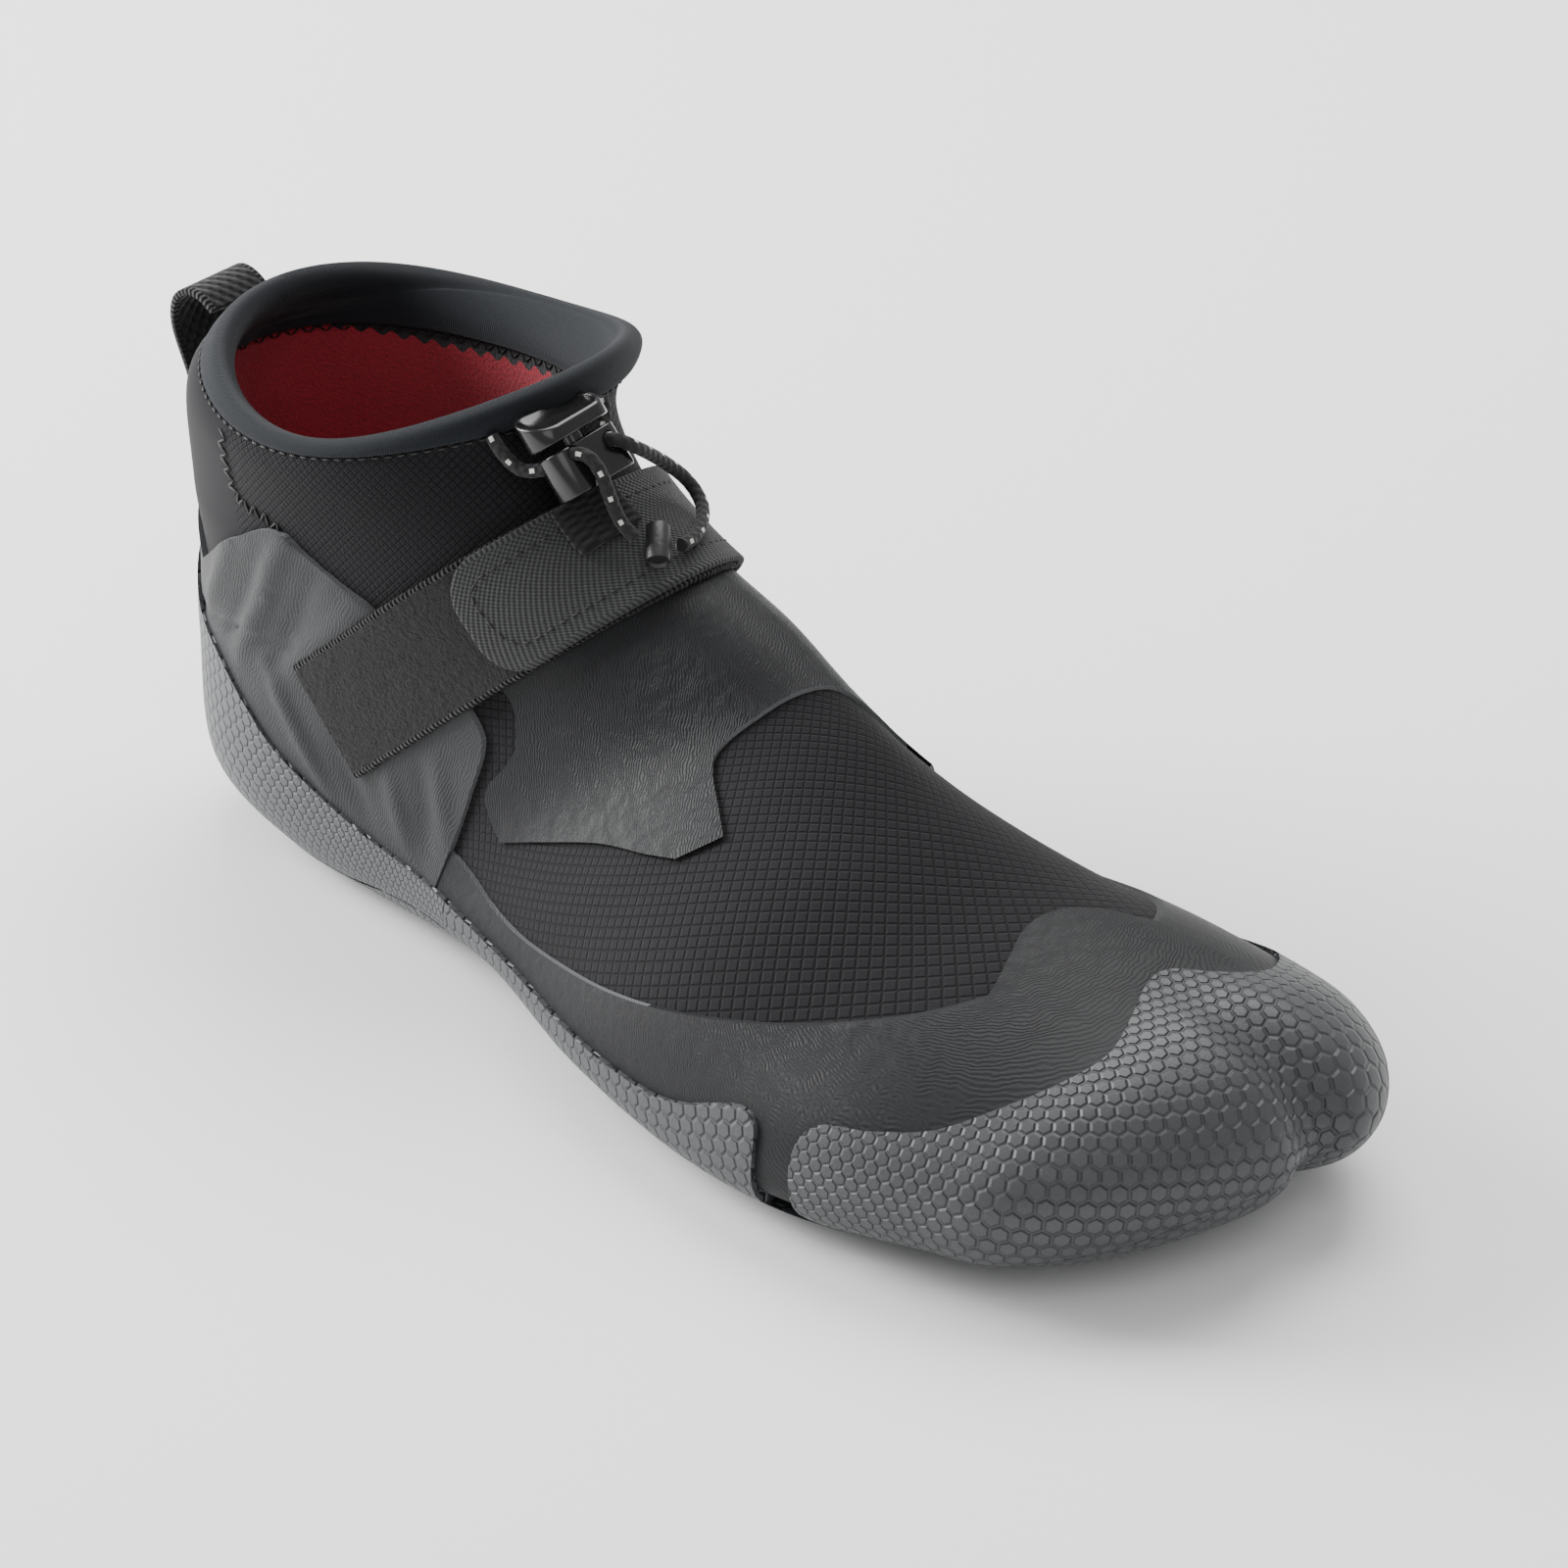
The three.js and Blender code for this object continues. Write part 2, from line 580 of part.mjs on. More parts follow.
// The ring's wire, or a fatter wire on the same line that gives its bed in the webbing.
function ringWire(radius) {
  const centre = ringUpper.clone().add(ringLower).multiplyScalar(0.5);
  const [halfSpan, halfWidth, corner] = [RING_SPAN / 2, RING_WIDTH / 2, 2.2];
  const wire = [];
  [[1, 1], [-1, 1], [-1, -1], [1, -1]].forEach(([sx, sy], quarter) => {
    for (let k = 0; k <= 3; k++) {
      const turn = ((quarter + k / 3) * Math.PI) / 2;
      const x = sx * (halfSpan - corner) + corner * Math.cos(turn);
      const y = sy * (halfWidth - corner) + corner * Math.sin(turn);
      const p = centre.clone().addScaledVector(barAxis, x).addScaledVector(ringAcross, y);
      const aim = barAxis.clone().multiplyScalar(Math.cos(turn));
      aim.addScaledVector(ringAcross, Math.sin(turn));
      wire.push(
        Array.from({ length: 8 }, (_, j) => {
          const t = (j * Math.PI) / 4;
          return p
            .clone()
            .addScaledVector(aim, radius * Math.cos(t))
            .addScaledVector(ringPlace.out, radius * Math.sin(t));
        }),
      );
    }
  });
  return solid(loft(wire, { closed: true }));
}
const bedRadius = RING_WIRE / 2 + GAP;
const ringBed = ringWire(bedRadius)
  .add(bar(ringUpper, bedRadius, RING_SPAN))
  .add(bar(ringLower, bedRadius, RING_SPAN));
piece("strap_ring", lowered(ringWire(RING_WIRE / 2)), { color: 0x1a1b1c, metalness: 0.6 });

const under = layer(GAP, GAP + WEBBING);
const rise = 2 * bedRadius + 0.6; // the upper layer rides over the ring's bar
const nearRing = (p) => {
  if (p.y < RIDGE) return 0;
  const s = (p.x - STRAP_MIDDLE[0]) * along[0] + (p.z - STRAP_MIDDLE[1]) * along[1];
  return rise * (1 - smooth((s - STRAP_RING - 2) / 15));
};
const over = layer(2 * GAP + WEBBING, 2 * GAP + 2 * WEBBING, nearRing);
const band = (from, to, y0, y1, corner) =>
  sideBlock(bandOutline(from, to, STRAP_WIDTH, corner), y0, y1);
const fold = bar(ringUpper, bedRadius + WEBBING, STRAP_WIDTH);
const strap = under
  .intersect(band(STRAP_FOOT, STRAP_OVER, -FAR, RIDGE).add(band(STRAP_RING, STRAP_OVER, RIDGE, FAR)))
  .add(
    over.intersect(
      band(STRAP_TAB, STRAP_OVER, -FAR, RIDGE, 9).add(band(STRAP_RING, STRAP_OVER, RIDGE, FAR)),
    ),
  )
  .add(fold)
  .subtract(ringBed);
piece("strap", lowered(strap), { color: 0x2a2b2c, roughness: 0.9 });

const ANCHOR_FOOT = -39;
const anchorSheet = layer(GAP, GAP + 2 * WEBBING)
  .intersect(
    sideBlock(
      bandOutline(ANCHOR_FOOT, STRAP_RING - RING_WIDTH, ANCHOR_WIDTH),
      RIDGE,
      FAR,
    ),
  )
  .add(bar(ringLower, bedRadius + WEBBING, STRAP_WIDTH - 1))
  .subtract(ringBed);
piece("strap_anchor", lowered(anchorSheet), { color: 0x242526, roughness: 0.9 });

// ---- cord lock on the front of the collar ----------------------------------------------------
const LOCK_DRAWN = [63.6, -11.4, 110.1]; // middle of the cap
const LOCK = new THREE.Vector3(gradeX(LOCK_DRAWN[0]), LOCK_DRAWN[1], gradeZ(LOCK_DRAWN[2]));
const lockUp = new THREE.Vector3(-0.6, -0.1, 0.79).normalize();
const lockWide = new THREE.Vector3(0, 1, 0).addScaledVector(lockUp, -lockUp.y).normalize();
const lockOut = new THREE.Vector3().crossVectors(lockWide, lockUp).normalize();
const lockTurn = new THREE.Matrix4().makeBasis(lockWide, lockOut.clone().negate(), lockUp);
const barrelTop = LOCK.clone().addScaledVector(lockUp, -CAP / 2 - PRESS - GAP);

// A rounded block along the lock's axis, between two heights from a base point.
function lockBlock(base, from, to, width, depth, corner) {
  const [w, d] = [width / 2, depth / 2];
  const shape = new THREE.Shape();
  shape.moveTo(-w + corner, -d);
  shape.lineTo(w - corner, -d);
  shape.absarc(w - corner, -d + corner, corner, -Math.PI / 2, 0);
  shape.absarc(w - corner, d - corner, corner, 0, Math.PI / 2);
  shape.absarc(-w + corner, d - corner, corner, Math.PI / 2, Math.PI);
  shape.absarc(-w + corner, -d + corner, corner, Math.PI, 1.5 * Math.PI);
  const block = new THREE.ExtrudeGeometry(shape, {
    depth: to - from,
    bevelEnabled: false,
    curveSegments: 5,
  });
  block.translate(0, 0, from);
  block.applyMatrix4(lockTurn);
  block.translate(base.x, base.y, base.z);
  return solid(block);
}

// The elastic cord's two strands, each from the collar through the lock to the stopper.
// Points are places on the drawn last; what lies beyond the lock moves with it.
const STRANDS = {
  outer: [[54.4, -21.0, 108.0], [57.2, -20.9, 105.3], [60.8, -19.8, 102.9], [64.6, -17.9, 103.6],
    [67.7, -16.3, 106.1], [70.4, -14.9, 107.8], [73.0, -13.8, 107.4], [74.8, -13.0, 104.8],
    [75.8, -12.2, 101.2], [76.6, -11.4, 97.6], [78.0, -10.6, 94.4], [80.0, -9.4, 92.0]],
  inner: [[60.4, 1.2, 110.4], [61.6, 0.8, 107.6], [63.2, -1.2, 105.3], [65.5, -3.4, 104.7],
    [67.9, -5.2, 106.2], [70.2, -6.4, 107.8], [72.4, -5.4, 107.8], [72.8, -1.8, 105.2],
    [71.6, 2.8, 101.8], [70.6, 8.4, 97.2], [71.6, 12.4, 92.8], [75.4, 12.0, 89.8],
    [80.0, 7.6, 89.0], [83.4, 2.0, 89.0], [84.6, -2.2, 89.5]],
};
const lockShift = LOCK.clone().sub(new THREE.Vector3(...LOCK_DRAWN));
function strand(points, radius) {
  const path = new THREE.CatmullRomCurve3(
    points.map((p) => new THREE.Vector3(...p).add(lockShift)),
  );
  const section = new THREE.Shape();
  section.absarc(0, 0, radius, 0, 2 * Math.PI);
  const tube = new THREE.ExtrudeGeometry(section, {
    steps: 18,
    curveSegments: 4,
    extrudePath: path,
    bevelEnabled: false,
  });
  return solid(tube);
}

const stemBore = lockBlock(barrelTop, -STEM_LENGTH, 2, STEM + 2 * GAP, STEM + 2 * GAP, STEM / 2);
let barrel = lockBlock(barrelTop, -BARREL, 0, LOCK_WIDTH, LOCK_DEPTH, 3.4).subtract(stemBore);
for (const points of Object.values(STRANDS))
  barrel = barrel.subtract(strand(points, CORD / 2 + CORD_PLAY));
piece("cord_lock", lowered(barrel), { color: 0x151617, roughness: 0.3 });

const capBase = barrelTop.clone().addScaledVector(lockUp, PRESS + GAP);
const button = lockBlock(capBase, 0, CAP, CAP_WIDTH, CAP_DEPTH, 4.2).add(
  lockBlock(capBase, -STEM_LENGTH + GAP, 1, STEM, STEM, STEM / 2 - 0.2),
);
piece("lock_button", lowered(button), { color: 0x151617, roughness: 0.25 });

for (const [name, points] of Object.entries(STRANDS))
  piece("drawcord_" + name, lowered(strand(points, CORD / 2)), { color: 0x1b1b1c });

// The stopper bead that holds the strands' ends together.
const stopperPlace = new THREE.Vector3(82.6, -6.2, 90.4).add(lockShift);
const bead = new THREE.SphereGeometry(STOPPER / 2, 12, 10);
bead.scale(1, STOPPER_LENGTH / STOPPER, 1);
bead.applyQuaternion(
  new THREE.Quaternion().setFromUnitVectors(
    new THREE.Vector3(0, 1, 0),
    new THREE.Vector3(0.6, -0.6, -0.5).normalize(),
  ),
);
bead.translate(...stopperPlace.toArray());
piece("cord_stopper", lowered(solid(bead)), { color: 0x19191a, roughness: 0.45 });

// A short webbing tab from the barrel's foot over the strap's edge.
const tabCut = lockBlock(
  barrelTop.clone().addScaledVector(lockUp, -BARREL - GAP),
  -TAB_LENGTH,
  0,
  TAB_WIDTH,
  40,
  0.5,
);
const tabLow = 3 * GAP + 2 * WEBBING;
piece("lock_tab", lowered(layer(tabLow, tabLow + TAB).intersect(tabCut)), {
  color: 0x202122,
  roughness: 0.9,
});

// ---- pull loop: webbing from under the binding, out and down the back of the heel ------------
const LOOP_LINE = [[-36.6, 56.5], [-36.8, 66], [-38.2, 76], [-42.6, 86], [-46, 94], [-45.6, 99.4],
  [-42.4, 102.2], [-38.4, 102.2], [-34.6, 100.2]];
function loopOutline() {
  const line = new THREE.SplineCurve(
    LOOP_LINE.map(([x, z]) => new THREE.Vector2(gradeX(x), gradeZ(z))),
  );
  const steps = 18;
  const side = (sign) =>
    Array.from({ length: steps + 1 }, (_, i) => {
      const p = line.getPoint(i / steps);
      const t = line.getTangent(i / steps);
      return new THREE.Vector2(p.x - (sign * t.y * LOOP) / 2, p.y + (sign * t.x * LOOP) / 2);
    });
  return new THREE.Shape([...side(1), ...side(-1).reverse()]);
}
const loopMiddle = form(1, 0).y + 1;
const loop = sideBlock(loopOutline(), loopMiddle - LOOP_WIDTH / 2, loopMiddle + LOOP_WIDTH / 2);
piece("pull_loop", lowered(loop), { color: 0x1a1a1b, roughness: 0.9 });

export default boot;
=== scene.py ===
import math

import bmesh
import bpy
import numpy as np
from mathutils import Matrix, Vector
from mathutils.bvhtree import BVHTree


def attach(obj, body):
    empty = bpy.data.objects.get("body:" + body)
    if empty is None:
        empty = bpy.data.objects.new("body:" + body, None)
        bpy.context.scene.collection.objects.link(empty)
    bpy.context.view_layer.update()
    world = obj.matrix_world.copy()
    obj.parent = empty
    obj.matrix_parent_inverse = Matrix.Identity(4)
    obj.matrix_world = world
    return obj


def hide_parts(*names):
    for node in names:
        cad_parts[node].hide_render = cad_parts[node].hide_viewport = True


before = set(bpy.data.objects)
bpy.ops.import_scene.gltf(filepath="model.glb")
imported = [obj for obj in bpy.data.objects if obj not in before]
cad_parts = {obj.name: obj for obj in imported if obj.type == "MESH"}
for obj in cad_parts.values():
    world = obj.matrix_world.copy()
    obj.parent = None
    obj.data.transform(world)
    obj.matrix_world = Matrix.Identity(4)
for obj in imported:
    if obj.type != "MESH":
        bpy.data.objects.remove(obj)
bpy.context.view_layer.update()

MM = 0.001

# ---- Camera and studio -------------------------------------------------------------------------
# A long lens looks at the outer side of the boot from the front and above, slightly rolled.
# A pale floor and three soft boxes stand round it.
LOOK_AT = Vector((112, 1, 48)) * MM
turn, rise, roll = math.radians(45), math.radians(28.9), math.radians(0.25)
back = Vector((math.sin(turn) * math.cos(rise), -math.cos(turn) * math.cos(rise), math.sin(rise)))
bpy.ops.object.camera_add(location=LOOK_AT + 1.411 * back)
camera = bpy.context.object
camera.rotation_euler = (math.pi / 2 - rise, roll, turn)
camera.data.lens = 176
camera.data.sensor_width = 36
bpy.context.scene.camera = camera

bpy.ops.mesh.primitive_plane_add(size=8, location=(0, 0, 0))
floor = bpy.context.object
floor.name = "studio_floor"
pale = bpy.data.materials.new("pale_floor")
pale.use_nodes = True
pale.node_tree.nodes["Principled BSDF"].inputs["Base Color"].default_value = (0.93, 0.93, 0.93, 1)
pale.node_tree.nodes["Principled BSDF"].inputs["Roughness"].default_value = 0.7
floor.data.materials.append(pale)


def soft_box(name, place, aim, size, watts):
    bpy.ops.object.light_add(type="AREA", location=place)
    lamp = bpy.context.object
    lamp.name = name
    lamp.data.size = size
    lamp.data.energy = watts
    lamp.rotation_mode = "QUATERNION"
    lamp.rotation_quaternion = (Vector(aim) - Vector(place)).to_track_quat("-Z", "Y")


soft_box("softbox_back", (-0.25, 0.6, 1.15), (0.1, 0, 0.05), 1.0, 21)
soft_box("softbox_left", (-1.0, -0.5, 0.6), (0.0, 0, 0.05), 0.7, 38)
soft_box("softbox_front", (0.95, -0.75, 1.1), (0.12, 0, 0.03), 0.9, 5)
world = bpy.context.scene.world or bpy.data.worlds.new("studio")
bpy.context.scene.world = world
world.use_nodes = True
world.node_tree.nodes["Background"].inputs["Color"].default_value = (1, 1, 1, 1)
world.node_tree.nodes["Background"].inputs["Strength"].default_value = 0.6

# ---- Upper: the neoprene sock ------------------------------------------------------------------
# One sock of 3 mm neoprene, cut to the last and glued along its seams.  Its face is a black
# stretch fabric with raised diamonds, its lining a red plush.
# The last's sections lean from the back or sole line to the front line: back x, z; front x, z;
# outer, inner and ridge y; height of the widest place; squareness of the lower half.
SECTIONS = [
    [-27.5, 105, 58.3, 113, -39.5, 34.5, -2, 0.5, 2],
    [-34, 95, 59, 102, -41, 28.5, -5, 0.5, 2],
    [-35, 67, 67, 91.5, -38, 28, -4.5, 0.48, 2.1],
    [-35, 37, 78.5, 85, -37, 30.5, -2.5, 0.42, 2.3],
    [-29, 10, 91, 80.5, -37, 32, 0, 0.35, 2.6],
    [-3, 0, 103, 76, -36, 32, 1, 0.33, 3],
    [27, 0, 116, 70.5, -37.5, 29.5, 1, 0.35, 3.2],
    [63, 5, 131.5, 65.5, -46, 28.5, -1.5, 0.37, 3.2],
    [100, 3, 149, 59, -57, 33, -5, 0.35, 3.2],
    [135, 0, 169, 52, -62, 40, -5, 0.34, 3.2],
    [165, 0, 189, 48.5, -62.5, 44, -4, 0.36, 3.2],
    [193, 2.5, 206, 45, -57.5, 44.5, -4.5, 0.39, 3],
]
TOE_RUN, TOE_Y, TOE_Z, TOE_ROUND = 39.5, 10, 22, 2.07
TREAD_REST = 0.8
ANKLE_DIP = 9.5
COVER = 1.8
NEOPRENE = 3


def toe_section(degrees):
    bx, bz, tx, tz, outer, inner, ridge, belly, square = SECTIONS[11]
    c, s = math.cos(math.radians(degrees)), math.sin(math.radians(degrees))
    shrink = math.copysign(abs(c) ** (2 / TOE_ROUND), c)
    fade, half = 1 - abs(shrink), (tx - bx) / 2
    y = TOE_Y + (ridge - TOE_Y) * abs(shrink)
    return [
        bx + TOE_RUN * s + half * s * s, TOE_Z + (bz - TOE_Z) * shrink,
        tx + (TOE_RUN - half) * s, TOE_Z + (tz - TOE_Z) * shrink,
        y + (outer - ridge) * shrink, y + (inner - ridge) * shrink, y,
        belly + (0.5 - belly) * fade, square + (2 - square) * fade,
    ]


rows = SECTIONS + [toe_section(d) for d in (22, 42, 60, 76, 90, 104)]
ROWS = np.array([[2 * p - q for p, q in zip(rows[0], rows[1])]] + rows)
TIP = len(ROWS) - 3
TIP_X = ROWS[-2][0]


def smooth(t):
    t = np.clip(t, 0, 1)
    return t * t * (3 - 2 * t)


def outer_form(u, a):
    i = np.clip(np.floor(u), 0, TIP - 1).astype(int)
    f = (u - i)[:, None]
    p0, p1, p2, p3 = (ROWS[i + k] for k in range(4))
    row = p1 + 0.5 * f * (
        p2 - p0 + f * (2 * p0 - 5 * p1 + 4 * p2 - p3 + f * (3 * (p1 - p2) + p3 - p0)))
    bx, bz, tx, tz, outer, inner, ridge, belly, square = row.T
    c, s = np.cos(a), np.sin(a)
    tall = np.hypot(tx - bx, tz - bz) + 1e-6
    lower = tall * belly
    height = np.where(c > 0, lower, tall - lower)
    width = np.maximum(np.where(s > 0, ridge - outer, inner - ridge), 1e-3)
    power = np.where(c > 0, square, 2)
    r = ((np.abs(c) / height) ** power + (np.abs(s) / width) ** power) ** (-1 / power)
    along = (lower - r * c) / tall
    dip = ANKLE_DIP * np.clip(1 - u / 2.2, 0, 1.2) ** 1.5 * s * s
    p = np.stack([bx + (tx - bx) * along, ridge - r * s, bz + (tz - bz) * along - dip], axis=1)
    near = smooth((p[:, 0] - (TIP_X - 42)) / 42)
    cut = 4.2 * near * np.exp(-((p[:, 1] - 5 * near) / 6.5) ** 2)
    core = np.stack([(bx + tx) / 2 - 12, p[:, 1], (bz + tz) / 2], axis=1) - p
    core /= np.linalg.norm(core, axis=1)[:, None] + 1e-9
    return p + core * cut[:, None]


def out_of(u, a):
    tip = np.minimum(u, TIP - 0.05)
    du = outer_form(tip + 0.02, a) - outer_form(tip - 0.02, a)
    da = outer_form(tip, a + 0.02) - outer_form(tip, a - 0.02)
    n = np.cross(du, da)
    n /= np.linalg.norm(n, axis=1)[:, None] + 1e-12
    n[u >= TIP] = (1, 0, 0)
    return n


def on_last(u, a, depth=0.0, under_rubber=False):
    """Points a depth below the outer form, in millimetres, standing on the floor."""
    u, a = np.broadcast_arrays(np.asarray(u, float), np.asarray(a, float))
    p, n = outer_form(u, a), out_of(u, a)
    d = np.full(len(p), float(depth))
    if under_rubber:
        d += COVER * (1 - smooth((p[:, 2] - 58) / 16)) + 1.9 * np.maximum(0, -n[:, 2]) ** 2
    p = p - n * d[:, None]
    p[:, 2] = np.maximum(p[:, 2] - TREAD_REST, 0)
    return p


def deselect():
    if bpy.context.object and bpy.context.object.mode == "EDIT":
        bpy.ops.object.mode_set(mode="OBJECT")
    bpy.ops.object.select_all(action="DESELECT")


def edit(piece, mode="VERT"):
    deselect()
    bpy.context.view_layer.objects.active = piece
    piece.select_set(True)
    bpy.ops.object.mode_set(mode="EDIT")
    bpy.ops.mesh.select_mode(type=mode)
    bpy.ops.mesh.select_all(action="SELECT")


def arc_length(points, axis):
    steps = np.linalg.norm(np.diff(points, axis=axis), axis=2)
    zero = np.zeros_like(np.take(steps, [0], axis=axis))
    return np.concatenate([zero, np.cumsum(steps, axis=axis)], axis=axis)


def sock(name, depth, start=0.0, end=None, around=168, along=230, closed=True, spread=math.pi,
         **how):
    """A grid laid over the last as one sock, with its own girth and length in metres as UV."""
    deselect()
    bpy.ops.mesh.primitive_grid_add(x_subdivisions=around, y_subdivisions=along, size=1)
    piece = bpy.context.object
    piece.name = name
    mesh = piece.data
    grid = np.empty(len(mesh.vertices) * 3)
    mesh.vertices.foreach_get("co", grid)
    grid = grid.reshape(-1, 3)
    a = grid[:, 0] * 2 * spread + (math.pi if spread == math.pi else 0)
    u = start + (grid[:, 1] + 0.5) * ((end or TIP) - start)
    points = on_last(u, a, depth, **how)
    shape = points.reshape(along + 1, around + 1, 3)
    girth = arc_length(shape, 1)
    girth -= girth[:, [around // 2]]
    length = arc_length(shape, 0)
    mesh.vertices.foreach_set("co", (points * MM).ravel())
    uv = np.stack([girth.ravel(), length.ravel()], axis=1) * MM
    corner = np.empty(len(mesh.loops), int)
    mesh.loops.foreach_get("vertex_index", corner)
    layer = mesh.uv_layers.active or mesh.uv_layers.new(name="UVMap")
    layer.data.foreach_set("uv", uv[corner].ravel())
    mesh.update()
    edit(piece)
    bpy.ops.mesh.remove_doubles(threshold=1e-5)
    bpy.ops.mesh.normals_make_consistent(inside=False)
    if closed:
        bpy.ops.mesh.select_all(action="DESELECT")
        bpy.ops.mesh.select_non_manifold()
        bpy.ops.mesh.edge_face_add()
        bpy.ops.mesh.select_all(action="SELECT")
        bpy.ops.mesh.quads_convert_to_tris()
        bpy.ops.mesh.normals_make_consistent(inside=False)
    bpy.ops.object.mode_set(mode="OBJECT")
    return piece


def use(piece, kind, **settings):
    """Adds a modifier and applies it."""
    modifier = piece.modifiers.new(kind, kind)
    for key, value in settings.items():
        setattr(modifier, key, value)
    deselect()
    bpy.context.view_layer.objects.active = piece
    piece.select_set(True)
    bpy.ops.object.modifier_apply(modifier=modifier.name)


def cut(piece, operation, tool, keep_tool=False):
    use(piece, "BOOLEAN", operation=operation, object=tool, solver="MANIFOLD")
    if not keep_tool:
        bpy.data.objects.remove(tool)


def curved(points, closed=True, steps=6, sharp=()):
    """A smooth line through chosen points; it turns a corner at the sharp ones."""
    n, line = len(points), []
    for i in range(n if closed else n - 1):
        p1, p2 = (Vector(points[k % n]) for k in (i, i + 1))
        p0 = p1 if i in sharp or (not closed and i == 0) else Vector(points[i - 1])
        p3 = p2 if (i + 1) % n in sharp or (not closed and i == n - 2) else Vector(
            points[(i + 2) % n])
        for k in range(steps):
            t = k / steps
            line.append(p1 + 0.5 * t * (p2 - p0 + t * (
                2 * p0 - 5 * p1 + 4 * p2 - p3 + t * (3 * (p1 - p2) + p3 - p0))))
    return line if closed else [*line, Vector(points[-1])]


def knife(outline, side):
    """A block with the outline seen from the side (-1 outer, 1 inner, 2 both) or above (0)."""
    deselect()
    mesh = bpy.data.meshes.new("knife")
    low, high = {-1: (-160, 0.02), 1: (-0.02, 160), 0: (-60, 200), 2: (-160, 160)}[side]
    place = (lambda x, v: (x, v, low)) if side == 0 else (lambda x, v: (x, low, v))
    mesh.from_pydata([[c * MM for c in place(*p)] for p in outline], [], [range(len(outline))])
    block = bpy.data.objects.new("knife", mesh)
    bpy.context.collection.objects.link(block)
    edit(block)
    reach = (high - low) * MM
    move = (0, 0, reach) if side == 0 else (0, reach, 0)
    bpy.ops.mesh.extrude_region_move(TRANSFORM_OT_translate={"value": move})
    bpy.ops.mesh.select_all(action="SELECT")
    bpy.ops.mesh.quads_convert_to_tris()
    bpy.ops.mesh.normals_make_consistent(inside=False)
    bpy.ops.object.mode_set(mode="OBJECT")
    return block


def joined_knife(*knives):
    first, *others = knives
    for other in others:
        cut(first, "UNION", other)
    return first


def smooth_faces(piece, angle=38):
    deselect()
    bpy.context.view_layer.objects.active = piece
    piece.select_set(True)
    bpy.ops.object.shade_smooth_by_angle(angle=math.radians(angle))


def unwrap(piece, parted=None):
    """Unrolls each face of the piece flat, at its true size in metres."""
    edit(piece)
    bpy.ops.mesh.mark_seam(clear=True)
    bpy.ops.mesh.select_all(action="DESELECT")
    bpy.ops.mesh.select_mode(type="EDGE")
    bpy.ops.mesh.edges_select_sharp(sharpness=math.radians(48))
    bpy.ops.mesh.mark_seam()
    if parted:
        shell = bmesh.from_edit_mesh(piece.data)
        for line in shell.edges:
            if len(line.link_faces) == 2 and parted(*line.link_faces):
                line.seam = True
    bpy.ops.mesh.select_all(action="SELECT")
    bpy.ops.uv.unwrap(method="CONFORMAL", margin=0.001)
    bpy.ops.uv.select_all(action="SELECT")
    bpy.ops.uv.average_islands_scale()
    bpy.ops.object.mode_set(mode="OBJECT")
    mesh = piece.data
    layer = mesh.uv_layers.active.data
    uv = np.empty(len(mesh.loops) * 2)
    layer.foreach_get("uv", uv)
    uv = uv.reshape(-1, 2)
    flat = sum(
        abs(np.cross(uv[p.loop_start + 1:p.loop_start + p.loop_total - 1] - uv[p.loop_start],
                     uv[p.loop_start + 2:p.loop_start + p.loop_total]
                     - uv[p.loop_start]).sum()) / 2
        for p in mesh.polygons
    )
    real = sum(p.area for p in mesh.polygons)
    layer.foreach_set("uv", (uv * math.sqrt(real / flat)).ravel())


def keep(piece, slot, *nodes, material=None, body="boot"):
    """Puts a finished piece on its body, in place of the frame's plain nodes."""
    if material is not None:
        piece.data.materials.clear()
        piece.data.materials.append(material)
    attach(piece, body)
    if nodes:
        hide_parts(*nodes)


def add_node(tree, kind, *inputs, output=0, **settings):
    node = tree.nodes.new("ShaderNode" + kind)
    for key, value in settings.items():
        setattr(node, key, value)
    for socket, value in zip(node.inputs, inputs):
        if isinstance(value, bpy.types.NodeSocket):
            tree.links.new(value, socket)
        elif value is not None:
            socket.default_value = value
    return node.outputs[output]


def mixed(tree, amount, first, second):
    node = tree.nodes.new("ShaderNodeMix")
    node.data_type = "RGBA"
    for key, value in ((0, amount), (6, first), (7, second)):
        if isinstance(value, bpy.types.NodeSocket):
            tree.links.new(value, node.inputs[key])
        else:
            node.inputs[key].default_value = value
    return node.outputs[2]


def new_group(name, inputs, outputs):
    tree = bpy.data.node_groups.new(name, "ShaderNodeTree")
    for label, kind, value in inputs:
        socket = tree.interface.new_socket(label, in_out="INPUT", socket_type="NodeSocket" + kind)
        if value is not None:
            socket.default_value = value
    for label, kind in outputs:
        tree.interface.new_socket(label, in_out="OUTPUT", socket_type="NodeSocket" + kind)
    entry = tree.nodes.new("NodeGroupInput").outputs
    leave = tree.nodes.new("NodeGroupOutput").inputs
    return tree, entry, leave


def place_group(tree, group, *inputs, output=0):
    node = tree.nodes.new("ShaderNodeGroup")
    node.node_tree = group
    for socket, value in zip(node.inputs, inputs):
        if isinstance(value, bpy.types.NodeSocket):
            tree.links.new(value, socket)
        elif value is not None:
            socket.default_value = value
    return node.outputs[output]


